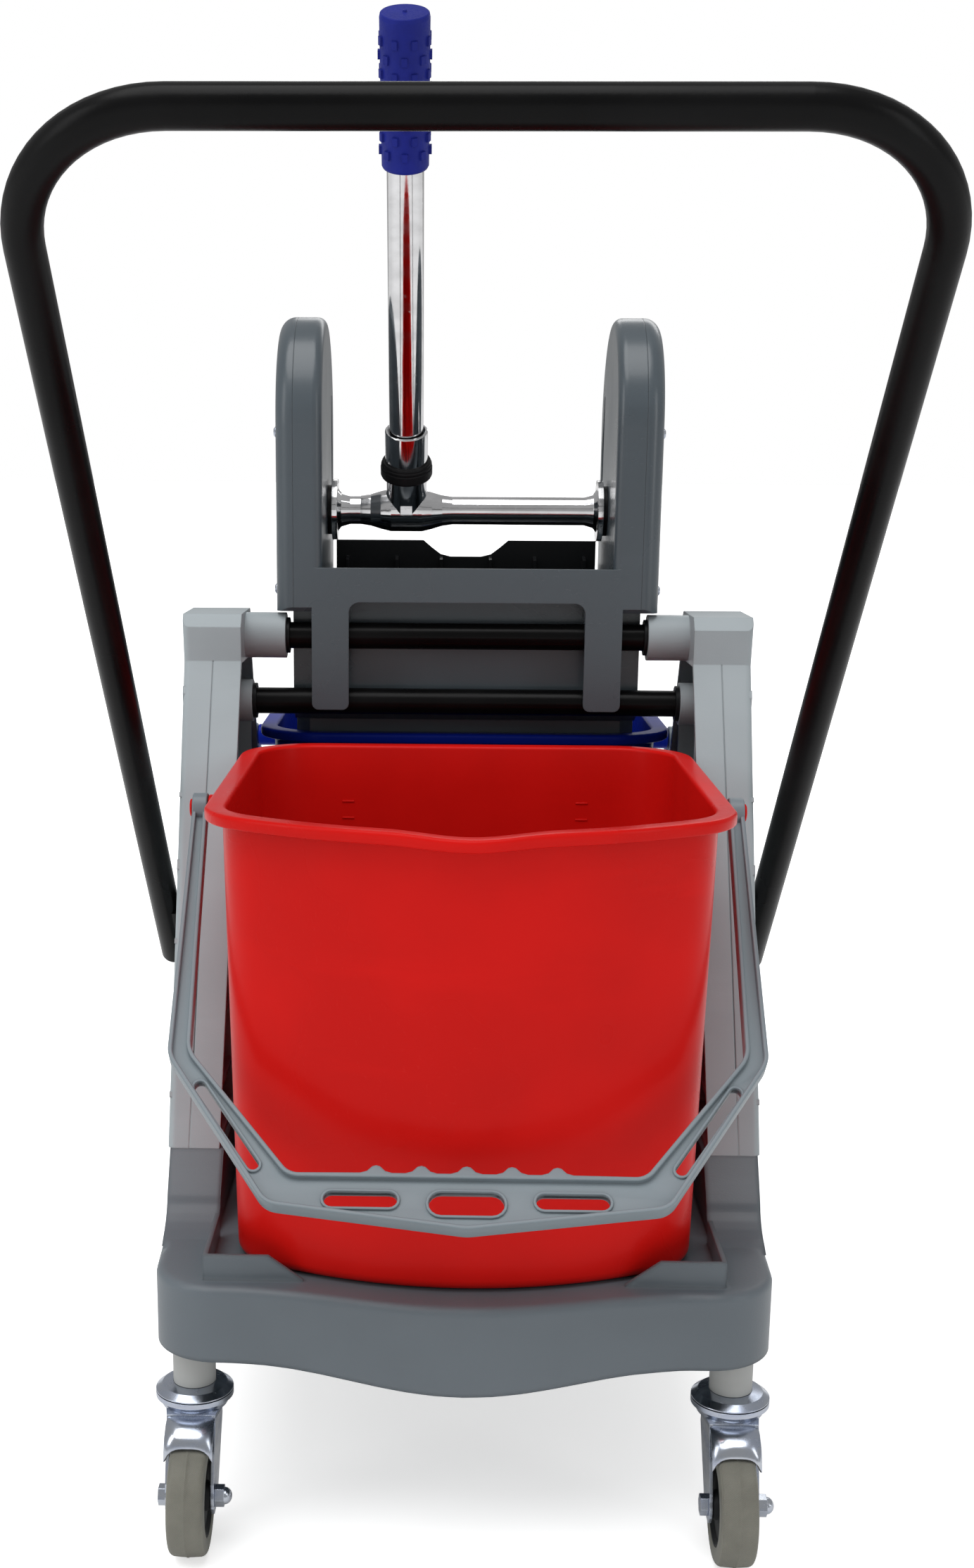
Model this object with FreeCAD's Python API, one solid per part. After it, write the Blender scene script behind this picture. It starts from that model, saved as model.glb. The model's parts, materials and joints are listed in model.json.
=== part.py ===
import FreeCAD
import Part
import math
import os

V = FreeCAD.Vector
os.makedirs("parts", exist_ok=True)

# ---------------------------------------------------------------- overall sizes
ORIGIN_SHIFT = 36.4           # puts the origin at the middle of the overall length
CHASSIS_HALF_LEN = 350.0      # centre to the straight end of the tray
CHASSIS_BULGE = 26.0          # extra length at the middle of each end
CHASSIS_HALF_W = 199.0        # half width at the corners
CHASSIS_MID_HALF_W = 205.0    # half width at the middle of the sides
DECK_Z = 186.0
SKIRT_Z = 135.0
SKIRT_DIP = 8.0               # the skirt hangs lower at the middle of the ends
SHELL_T = 4.0
CORNER_R = 42.0
SEAM_Z = 230.0

POST_FRONT_Y = 218.0          # foot of the side frame, fore and aft of the middle
POST_IN_X = 168.0
POST_FOOT_X = 204.0
POST_TOP_X = 212.0
POST_BREAK_Z = 546.0
POST_TOP_Z = 580.0
POST_TOP_Y0 = -29.0
POST_TOP_Y1 = 52.0

TUBE_Y = 11.5                 # both cross tubes
TUBE_UP_Z = 562.0
TUBE_LO_Z = 512.0
TUBE_R = 10.0
TUBE_WALL = 1.5
TUBE_FIT = 0.10               # radial clearance of a tube in its bore
TUBE_SIDE = 30.0              # how far a tube goes into each side frame
STUB_R = 17.2
STUB_IN_X = 137.0

HANDLE_HALF_W = 236.0
HANDLE_R = 11.0
HANDLE_WALL = 1.6
HANDLE_BAR_Y = -479.0
HANDLE_BAR_Z = 856.0
HANDLE_END_Y = 67.0
HANDLE_END_Z = 297.5
HANDLE_BEND_R = 82.0

CASTER_X = 175.0
CASTER_Y = 316.0
WHEEL_R = 39.0
WHEEL_W = 24.0
TRAIL = 30.0
RACE_Z = 100.5
RACE_R = 25.4
RUN_FIT = 0.10                # radial clearance of a wheel or pinion on its shaft

BUCKET_HX = 153.0             # half width of the wall under the rim
BUCKET_IN_Y = 37.0            # wall nearest the middle of the trolley
BUCKET_OUT_Y = 377.0          # middle of the curved front, under the rim
BUCKET_TOP_Z = 485.0
BUCKET_BASE_HX = 148.0
BUCKET_BASE_IN_Y = 45.0
BUCKET_BASE_OUT_Y = 351.0
BUCKET_CURVE_TOP = 0.0025     # front curve, mm of depth per mm squared
BUCKET_CURVE_BASE = 0.0020
BUCKET_LIP = 5.0              # the pouring lip stands out this far
LIP_DIP = 2.6                 # and hangs this much lower
LIP_HALF_W = 52.0
BUCKET_T = 2.6
RIM_W = 11.0
RIM_DROP = 8.0
BASE_CHAMFER = 8.0
BUCKET_GAP = 0.3              # clearance of each bucket over the deck

BAIL_PIVOT_Y = 180.0
BAIL_PIVOT_Z = 462.0
BAIL_X = 176.0                # inner face of the arm
BAIL_ARM_W = 10.0
BAIL_T = 12.0
BAIL_ANGLE = 48.0
BAIL_PIN_R = 4.0
BAIL_CORNER_X = 185.0
BAIL_CORNER_S = 200.0
BAIL_LOW_X = 113.0
BAIL_LOW_S = 290.0
BAIL_END_S = 314.0

EAR_IN_X = 109.0
EAR_OUT_X = 144.0
EAR_SEAM_X = 130.5
EAR_Y0 = -4.0
EAR_Y1 = 156.0
EAR_BOTTOM_Z = 581.0
EAR_TOP_Z = 798.0
EAR_WALL = 3.0
PANEL_TOP_Z = 613.5
PANEL_LOW_Z = 588.0
PANEL_CURVE = 8.0             # rounding where the hooks meet the panel
EAR_IN_ROUND = 7.0
EAR_OUT_ROUND = 12.0
HOOK_X = 103.0
HOOK_W = 28.0
HOOK_BOTTOM_Z = 507.0
BASKET_HX = 133.0
BASKET_BOTTOM_Z = 400.0
BASKET_T = 3.0

SHAFT_Y = 83.0
SHAFT_Z = 654.0
SHAFT_R = 11.0
LEVER_X = -47.5
LEVER_LEAN = 29.0
LEVER_R = 13.0
LEVER_LEN = 370.0
GRIP_START = 269.0
GRIP_R = 17.0
RING_S = 31.0                 # lower edge of the rubber ring, along the lever
COLLAR_R = 16.4
COLLAR_END = 69.0
FLANGE_R = 23.5
PINION_PITCH_R = 46.0
MODULE = 4.0
RACK_X0 = 112.0
RACK_X1 = 124.0
LEVER_SWING = 60.0            # degrees
PRESS_STROKE = PINION_PITCH_R * math.radians(LEVER_SWING)
PRESS_Y = 134.0               # rear face of the press plate at rest
PLATE_T = 4.0
PLATE_TOP_Z = 629.0
PLATE_LOW_Z = 412.0
NOTCH_HALF_W = 34.5
NOTCH_DEPTH = 13.0


# ---------------------------------------------------------------- helpers
def save(shape, node):
    shape = shape.copy()
    shape.translate(V(0, ORIGIN_SHIFT, 0))
    solids = shape.Solids
    out = solids[0] if len(solids) == 1 else Part.makeCompound(solids)
    out.exportStep("parts/%s.step" % node)
    print(node, len(solids), round(out.Volume / 1000.0, 2), "cm3", out.isValid())


def box(x0, x1, y0, y1, z0, z1):
    return Part.makeBox(x1 - x0, y1 - y0, z1 - z0, V(x0, y0, z0))


def cyl(x, y, z, axis, r, h):
    return Part.makeCylinder(r, h, V(x, y, z), axis)


def xcyl(x0, x1, y, z, r):
    return Part.makeCylinder(r, x1 - x0, V(x0, y, z), V(1, 0, 0))


def prism_x(points, x0, x1):
    """Polygon given as (y, z) pairs, extruded from x0 to x1."""
    wire = Part.makePolygon([V(x0, y, z) for y, z in points + points[:1]])
    return Part.Face(wire).extrude(V(x1 - x0, 0, 0))


def prism_y(points, y0, y1):
    wire = Part.makePolygon([V(x, y0, z) for x, z in points + points[:1]])
    return Part.Face(wire).extrude(V(0, y1 - y0, 0))


def prism_z(points, z0, z1):
    wire = Part.makePolygon([V(x, y, z0) for x, y in points + points[:1]])
    return Part.Face(wire).extrude(V(0, 0, z1 - z0))


def fuse(shapes):
    out = shapes[0]
    if len(shapes) > 1:
        out = out.multiFuse(shapes[1:])
    return out.removeSplitter()


def mirror_x(shape):
    return shape.mirror(V(0, 0, 0), V(1, 0, 0))


def mirror_y(shape):
    return shape.mirror(V(0, 0, 0), V(0, 1, 0))


def edges_where(shape, test):
    return [e for e in shape.Edges if test(e)]


def soften(shape, radius, test):
    """Fillet the chosen edges, or leave the solid as it is if they refuse."""
    edges = edges_where(shape, test)
    if not edges:
        return shape
    try:
        out = shape.makeFillet(radius, edges)
        if out.isValid() and out.Solids:
            return out
    except Exception:
        pass
    return shape


def at_z(z, tol=0.05):
    def test(edge):
        box_ = edge.BoundBox
        return abs(box_.ZMin - z) < tol and abs(box_.ZMax - z) < tol
    return test


def revolve(points, base, axis, side):
    """Turn (radius, along) pairs about an axis; side is the radial direction."""
    pts = [base + side * r + axis * a for r, a in points]
    face = Part.Face(Part.makePolygon(pts + pts[:1]))
    return face.revolve(base, axis, 360)


# ---------------------------------------------------------------- planforms
def end_curve(w, y, bulge):
    """Curved end of the tray's planform, from (-w, y) over the middle to (w, y)."""
    n = 12
    pts = []
    for i in range(n + 1):
        x = -w + 2 * w * i / n
        pts.append(V(x, y - bulge * (0.5 + 0.5 * math.cos(math.pi * x / w)), 0))
    curve = Part.BSplineCurve()
    curve.interpolate(Points=pts, InitialTangent=V(1, 0, 0), FinalTangent=V(1, 0, 0))
    return curve.toShape()


def quarter(cx, cy, r, a0, a1):
    pts = []
    for a in (a0, (a0 + a1) / 2.0, a1):
        t = math.radians(a)
        pts.append(V(cx + r * math.cos(t), cy + r * math.sin(t), 0))
    return Part.Arc(pts[0], pts[1], pts[2]).toShape()


def bucket_wire(hx, y_mid, y_in, r, k, lip, inset, z):
    """Planform of the bucket on the -Y side, moved inwards by inset."""
    cx = hx - r
    turn = 0.5
    for i in range(30):
        turn = math.atan(2.0 * k * (cx + r * math.sin(turn)))
    w = cx + r * math.sin(turn)
    cy = -y_mid + k * w * w + r * math.cos(turn)
    r = r - inset
    w = cx + r * math.sin(turn)
    y_end = cy - r * math.cos(turn)
    front = -y_mid + inset
    n = 16
    pts = []
    for i in range(n + 1):
        x = -w + 2 * w * i / n
        share = 1.0 - (x / w) ** 2
        y = y_end + (front - y_end) * share - lip * share * math.exp(-(x / 33.0) ** 2)
        pts.append(V(x, y, 0))
    curve = Part.BSplineCurve()
    curve.interpolate(Points=pts, InitialTangent=V(math.cos(turn), -math.sin(turn), 0),
                      FinalTangent=V(math.cos(turn), math.sin(turn), 0))
    deg = math.degrees(turn)
    hx = hx - inset
    yi = -y_in - inset
    parts = [curve.toShape()]
    parts.append(quarter(cx, cy, r, -90 + deg, 0))
    parts.append(Part.makeLine(V(hx, cy, 0), V(hx, yi - r, 0)))
    parts.append(quarter(cx, yi - r, r, 0, 90))
    parts.append(Part.makeLine(V(cx, yi, 0), V(-cx, yi, 0)))
    parts.append(quarter(-cx, yi - r, r, 90, 180))
    parts.append(Part.makeLine(V(-hx, yi - r, 0), V(-hx, cy, 0)))
    parts.append(quarter(-cx, cy, r, 180, 270 - deg))
    wire = Part.Wire(parts)
    wire.translate(V(0, 0, z))
    return wire


def chassis_wire(inset, z):
    hx = CHASSIS_HALF_W - inset
    mid = CHASSIS_MID_HALF_W - inset
    ly = CHASSIS_HALF_LEN - inset
    r = CORNER_R - inset
    w = hx - r
    front = end_curve(w, -ly, CHASSIS_BULGE)
    rear = front.mirror(V(0, 0, 0), V(0, 1, 0))
    side = Part.Arc(V(hx, -ly + r, 0), V(mid, 0, 0), V(hx, ly - r, 0)).toShape()
    parts = [front, rear, side, side.mirror(V(0, 0, 0), V(1, 0, 0))]
    parts.append(quarter(w, -ly + r, r, -90, 0))
    parts.append(quarter(w, ly - r, r, 0, 90))
    parts.append(quarter(-w, ly - r, r, 90, 180))
    parts.append(quarter(-w, -ly + r, r, 180, 270))
    wire = Part.Wire(Part.__sortEdges__(parts))
    wire.translate(V(0, 0, z))
    return wire


def slab(wire, h):
    return Part.Face(wire).extrude(V(0, 0, h))


# ---------------------------------------------------------------- chassis
def side_base_profile(grow):
    """(y, z) outline of the raised side of the tray; grow insets it if negative."""
    pts = [(-POST_FRONT_Y - 62.0 - grow, DECK_Z - 2.0)]
    for i in range(1, 7):
        t = math.pi / 2 * i / 7.0
        y = -POST_FRONT_Y - 62.0 + 40.0 * math.sin(t)
        z = DECK_Z + 24.0 * (1.0 - math.cos(t))
        pts.append((y - grow, z + grow))
    pts.append((-POST_FRONT_Y - grow, SEAM_Z + min(grow, 0.0)))
    return pts + [(-y, z) for y, z in reversed(pts)]


def build_chassis():
    outer = slab(chassis_wire(0.0, SKIRT_Z - SKIRT_DIP), DECK_Z - SKIRT_Z + SKIRT_DIP)
    outer = soften(outer, 5.0, at_z(DECK_Z))
    tall = slab(chassis_wire(0.0, DECK_Z - 6.0), SEAM_Z - DECK_Z + 10.0)
    side = prism_x(side_base_profile(0.0), POST_IN_X - 3.0, 230.0)
    side = side.common(tall)
    outer = outer.multiFuse([side, mirror_x(side)])
    inner = slab(chassis_wire(SHELL_T, SKIRT_Z - SKIRT_DIP - 2.0), DECK_Z - SKIRT_Z + SKIRT_DIP + 2.0 - SHELL_T)
    tall_in = slab(chassis_wire(SHELL_T, DECK_Z - 10.0), SEAM_Z - DECK_Z + 10.0 - SHELL_T)
    hollow = prism_x(side_base_profile(-SHELL_T) , POST_IN_X + 1.0, 230.0).common(tall_in)
    foot = box(POST_IN_X + 1.0, 200.0, -POST_FRONT_Y - 20.0, POST_FRONT_Y + 20.0, DECK_Z - 8.0, DECK_Z + 6.0)
    foot = foot.common(tall_in)
    body = outer.cut(inner).cut(hollow).cut(mirror_x(hollow)).cut(foot).cut(mirror_x(foot))
    # wavy lower edge of the two ends
    wave = []
    n = 24
    for i in range(n + 1):
        x = -CHASSIS_MID_HALF_W - 10 + 2 * (CHASSIS_MID_HALF_W + 10) * i / n
        dip = SKIRT_DIP * 0.5 * (1 + math.cos(math.pi * min(1.0, abs(x) / 130.0)))
        wave.append((x, SKIRT_Z - dip))
    below = prism_y([(-240.0, SKIRT_Z - 40.0)] + wave + [(240.0, SKIRT_Z - 40.0)],
                    -CHASSIS_HALF_LEN - 60, CHASSIS_HALF_LEN + 60)
    body = body.cut(below)
    # ribs under the deck
    ribs = []
    rib_top = DECK_Z - SHELL_T + 1.0
    for y in (-250.0, -150.0, -50.0, 50.0, 150.0, 250.0):
        ribs.append(box(-CHASSIS_HALF_W + 3.0, CHASSIS_HALF_W - 3.0, y - 1.5, y + 1.5, SKIRT_Z + 14.0, rib_top))
    for x in (-110.0, 0.0, 110.0):
        ribs.append(box(x - 1.5, x + 1.5, -CHASSIS_HALF_LEN + 2.0, CHASSIS_HALF_LEN - 2.0, SKIRT_Z + 14.0, rib_top))
    for sx in (-1, 1):
        for sy in (-1, 1):
            ribs.append(cyl(sx * CASTER_X, sy * CASTER_Y, SKIRT_Z + 2.0, V(0, 0, 1), 18.5, rib_top - SKIRT_Z - 2.0))
    body = body.multiFuse(ribs)
    # corner walls that hold the buckets, and a low divider
    lips = []
    lip_top = DECK_Z + 17.0
    for sx in (-1, 1):
        for sy in (-1, 1):
            x_in, x_mid, x_out = sx * 102.0, sx * 124.0, sx * 165.5
            wall = prism_y([(x_in, DECK_Z - 1.0), (x_in, DECK_Z + 1.0), (x_mid, lip_top), (x_out, lip_top),
                            (x_out, DECK_Z - 1.0)], sy * 338.0, sy * 335.0)
            lips.append(wall)
            xs = sorted((x_out, x_out - sx * 3.0))
            ys = sorted((sy * 338.0, sy * 268.0))
            lips.append(box(xs[0], xs[1], ys[0], ys[1], DECK_Z - 1.0, lip_top))
    lips.append(box(-120.0, 120.0, -1.5, 1.5, DECK_Z - 1.0, DECK_Z + 12.0))
    body = body.multiFuse(lips)
    # seats for the caster sockets
    for sx in (-1, 1):
        for sy in (-1, 1):
            body = body.cut(cyl(sx * CASTER_X, sy * CASTER_Y, SKIRT_Z - 20.0, V(0, 0, 1), 14.0, 60.0))
    body = body.removeSplitter()
    biggest = max(body.Solids, key=lambda s: s.Volume)
    save(biggest, "chassis_base")
    sockets = []
    for sx in (-1, 1):
        for sy in (-1, 1):
            tube = cyl(sx * CASTER_X, sy * CASTER_Y, RACE_Z + 6.0, V(0, 0, 1), 13.9, SKIRT_Z + 38.0 - RACE_Z - 6.0)
            bore = cyl(sx * CASTER_X, sy * CASTER_Y, RACE_Z + 5.0, V(0, 0, 1), 5.1, 90.0)
            sockets.append(tube.cut(bore))
    save(Part.makeCompound(sockets), "stem_sockets")


# ---------------------------------------------------------------- side frames
def post_profile(inset):
    pts = [(-POST_FRONT_Y, SEAM_Z), (POST_TOP_Y0, POST_BREAK_Z), (POST_TOP_Y0, POST_TOP_Z - 9.0),
           (POST_TOP_Y0 + 9.0, POST_TOP_Z), (POST_TOP_Y1 - 9.0, POST_TOP_Z),
           (POST_TOP_Y1, POST_TOP_Z - 9.0), (POST_TOP_Y1, POST_BREAK_Z), (POST_FRONT_Y, SEAM_Z)]
    if not inset:
        return pts
    wire = Part.makePolygon([V(0, y, z) for y, z in pts + pts[:1]])
    small = wire.makeOffset2D(-inset, 2, False, False, True)
    verts = [v.Point for v in small.OrderedVertexes]
    return [(p.y, p.z) for p in verts]


def build_posts():
    solid = prism_x(post_profile(0.0), POST_IN_X, 230.0)
    lean = prism_y([(POST_FOOT_X, SEAM_Z), (POST_TOP_X, POST_TOP_Z), (POST_TOP_X + 1.0, POST_TOP_Z + 10.0),
                    (260.0, POST_TOP_Z + 10.0), (260.0, SEAM_Z - 10.0), (POST_FOOT_X - 0.3, SEAM_Z - 10.0)],
                   -300.0, 300.0)
    solid = solid.cut(lean)
    solid = soften(solid, 5.0, lambda e: e.BoundBox.XMin > POST_FOOT_X - 1.0 and e.Length > 20.0
                   and e.BoundBox.ZMin > SEAM_Z + 1.0 - 300.0 and e.BoundBox.ZLength > 1.0)
    pocket = prism_x(post_profile(SHELL_T), POST_IN_X - 1.0, 230.0)
    lean_in = lean.copy()
    lean_in.translate(V(-SHELL_T, 0, 0))
    pocket = pocket.cut(lean_in)
    pocket = pocket.cut(box(160.0, 230.0, -80.0, 80.0, POST_BREAK_Z - 2.0, POST_TOP_Z))
    cage = [solid.cut(pocket)]
    ribs = []
    for z in (262.0, 310.0, 358.0, 406.0, 454.0):
        ribs.append(box(POST_IN_X + 2.0, 230.0, -260.0, 260.0, z - 1.5, z + 1.5))
    for y in (-110.0, -40.0, 60.0, 120.0):
        ribs.append(box(POST_IN_X + 2.0, 230.0, y - 1.5, y + 1.5, SEAM_Z, POST_TOP_Z))
    ribs.append(xcyl(POST_IN_X, 230.0, TUBE_Y, TUBE_LO_Z, 16.0))
    inside = prism_x(post_profile(1.0), POST_IN_X - 1.0, 230.0).cut(lean)
    for rib in ribs:
        cage.append(rib.common(inside))
    # boss for the handle bolts, inside the shell
    for y, z in handle_bolt_places():
        cage.append(xcyl(POST_IN_X + 20.0, 230.0, y, z, 10.0).common(inside))
    cage.append(xcyl(STUB_IN_X, POST_IN_X + 10.0, TUBE_Y, TUBE_UP_Z, STUB_R))
    cage.append(xcyl(POST_IN_X - 5.0, POST_IN_X + 1.0, TUBE_Y, TUBE_LO_Z, 16.0))
    post = fuse(cage)
    for z in (TUBE_UP_Z, TUBE_LO_Z):
        post = post.cut(xcyl(STUB_IN_X - 5.0, POST_IN_X + TUBE_SIDE + 0.4, TUBE_Y, z, TUBE_R + TUBE_FIT))
    # parting groove down the middle of the front and rear faces
    mid = (POST_IN_X + POST_FOOT_X) / 2.0 + 3.0
    outline = post_profile(0.0)
    for k in (0, 6):
        y0, z0 = outline[k]
        y1, z1 = outline[k + 1]
        s = 1.0 if k == 0 else -1.0
        strip = prism_x([(y0 - 1.0 * s, z0 - 2.0), (y1 - 1.0 * s, z1), (y1 + 0.5 * s, z1), (y0 + 0.5 * s, z0 - 2.0)],
                        mid - 0.4, mid + 0.4)
        post = post.cut(strip)
    for y, z in handle_bolt_places():
        post = post.cut(xcyl(POST_IN_X + 5.0, 260.0, y, z, 3.2))
        post = post.cut(xcyl(POST_IN_X - 1.0, POST_IN_X + 20.0, y, z, 9.0))
    post = post.removeSplitter()
    post = max(post.Solids, key=lambda s: s.Volume)
    save(post, "post_right")
    save(mirror_x(post), "post_left")


def handle_dir():
    d = V(0, HANDLE_BAR_Y - HANDLE_END_Y, HANDLE_BAR_Z - HANDLE_END_Z)
    d.normalize()
    return d


def handle_bolt_places():
    d = handle_dir()
    out = []
    for s in (16.0, 50.0):
        out.append((HANDLE_END_Y + d.y * s, HANDLE_END_Z + d.z * s))
    return out


def build_tubes():
    for node, z, end in (("cross_tube_upper", TUBE_UP_Z, POST_IN_X + TUBE_SIDE),
                         ("cross_tube_lower", TUBE_LO_Z, POST_IN_X + TUBE_SIDE)):
        tube = xcyl(-end, end, TUBE_Y, z, TUBE_R).cut(xcyl(-end - 1, end + 1, TUBE_Y, z, TUBE_R - TUBE_WALL))
        save(tube, node)
    rings = []
    for s in (-1, 1):
        a, b = sorted((s * (STUB_IN_X - 2.6), s * (STUB_IN_X - 0.1)))
        rings.append(xcyl(a, b, TUBE_Y, TUBE_UP_Z, 13.5).cut(xcyl(a - 1, b + 1, TUBE_Y, TUBE_UP_Z, TUBE_R + 0.05)))
        a, b = sorted((s * (POST_IN_X - 8.0), s * (POST_IN_X - 5.1)))
        rings.append(xcyl(a, b, TUBE_Y, TUBE_LO_Z, 13.5).cut(xcyl(a - 1, b + 1, TUBE_Y, TUBE_LO_Z, TUBE_R + 0.05)))
    save(Part.makeCompound(rings), "tube_collars")


# ---------------------------------------------------------------- push handle
def build_handle():
    d = handle_dir()
    end = V(HANDLE_HALF_W, HANDLE_END_Y, HANDLE_END_Z)
    top = V(HANDLE_HALF_W, HANDLE_BAR_Y, HANDLE_BAR_Z)
    leg_stop = top - d * HANDLE_BEND_R
    bar_start = V(HANDLE_HALF_W - HANDLE_BEND_R, HANDLE_BAR_Y, HANDLE_BAR_Z)
    centre = leg_stop - V(HANDLE_BEND_R, 0, 0)
    mid = centre + (V(1, 0, 0) + d) * (HANDLE_BEND_R / math.sqrt(2.0))

    def path(start, flip):
        def f(p):
            return V(-p.x, p.y, p.z) if flip else p
        line = Part.makeLine(f(start), f(leg_stop))
        arc = Part.Arc(f(leg_stop), f(mid), f(bar_start)).toShape()
        return [line, arc]

    def pipe(radius, start):
        right = path(start, False)
        left = path(start, True)
        bar = Part.makeLine(bar_start, V(-bar_start.x, bar_start.y, bar_start.z))
        spine = Part.Wire(Part.__sortEdges__(right + [bar] + left))
        e0 = spine.OrderedEdges[0]
        p0 = spine.OrderedVertexes[0].Point
        tangent = e0.tangentAt(e0.FirstParameter)
        prof = Part.Wire(Part.makeCircle(radius, p0, tangent))
        return Part.Wire(spine).makePipeShell([prof], True, False, 2)

    outer = pipe(HANDLE_R, end)
    inner = pipe(HANDLE_R - HANDLE_WALL, end)
    handle = outer.cut(inner)
    for flip in (1, -1):
        c = V(flip * end.x, end.y, end.z)
        rim = Part.makeCylinder(HANDLE_R, 3.0, c, d)
        cap = revolve([(0, -4.0)] + [(HANDLE_R * math.sin(t), -4.0 * math.cos(t)) for t in
                                    [math.pi / 2 * i / 6.0 for i in range(1, 7)]] + [(0, 0.0)], c, d, V(1, 0, 0))
        handle = handle.fuse(rim).fuse(cap)
    for flip in (1, -1):
        for y, z in handle_bolt_places():
            a, b = sorted((flip * (HANDLE_HALF_W - HANDLE_R - 3.0), flip * (HANDLE_HALF_W - 4.0)))
            handle = handle.cut(xcyl(a, b, y, z, 3.2))
    handle = handle.removeSplitter()
    save(max(handle.Solids, key=lambda s: s.Volume), "push_handle")
    # spacer block between each post and its leg, with a round seat for the tube
    blocks = []
    bolts = []
    places = handle_bolt_places()
    for s in (1, -1):
        length = 74.0
        start = end - d * 2.0
        side = V(0, -d.z, d.y)
        corners = []
        for u, w in ((0, -9.5), (length, -9.5), (length, 9.5), (0, 9.5)):
            p = start + d * u + side * w
            corners.append((p.y, p.z))
        block = prism_x(corners, 203.0, HANDLE_HALF_W - 2.0)
        dx = (POST_TOP_X - POST_FOOT_X) / (POST_TOP_Z - SEAM_Z)
        wedge = prism_y([(150.0, 200.0), (POST_FOOT_X + dx * (200.0 - SEAM_Z) + 0.05, 200.0),
                         (POST_FOOT_X + dx * (500.0 - SEAM_Z) + 0.05, 500.0), (150.0, 500.0)], -200.0, 200.0)
        block = block.cut(wedge)
        block = block.cut(Part.makeCylinder(HANDLE_R + 0.05, 200.0, V(HANDLE_HALF_W, start.y, start.z) - d * 40.0, d))
        for y, z in places:
            block = block.cut(xcyl(195.0, 240.0, y, z, 3.2))
        block = max(block.Solids, key=lambda q: q.Volume)
        blocks.append(block if s > 0 else mirror_x(block))
        for y, z in places:
            shank = xcyl(POST_IN_X + 15.0, HANDLE_HALF_W - 6.0, y, z, 3.1)
            head = xcyl(POST_IN_X + 15.0, POST_IN_X + 19.9, y, z, 6.5)
            bolt = shank.fuse(head).removeSplitter()
            bolts.append(bolt if s > 0 else mirror_x(bolt))
    save(Part.makeCompound(blocks), "handle_spacers")
    save(Part.makeCompound(bolts), "handle_bolts")


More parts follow.
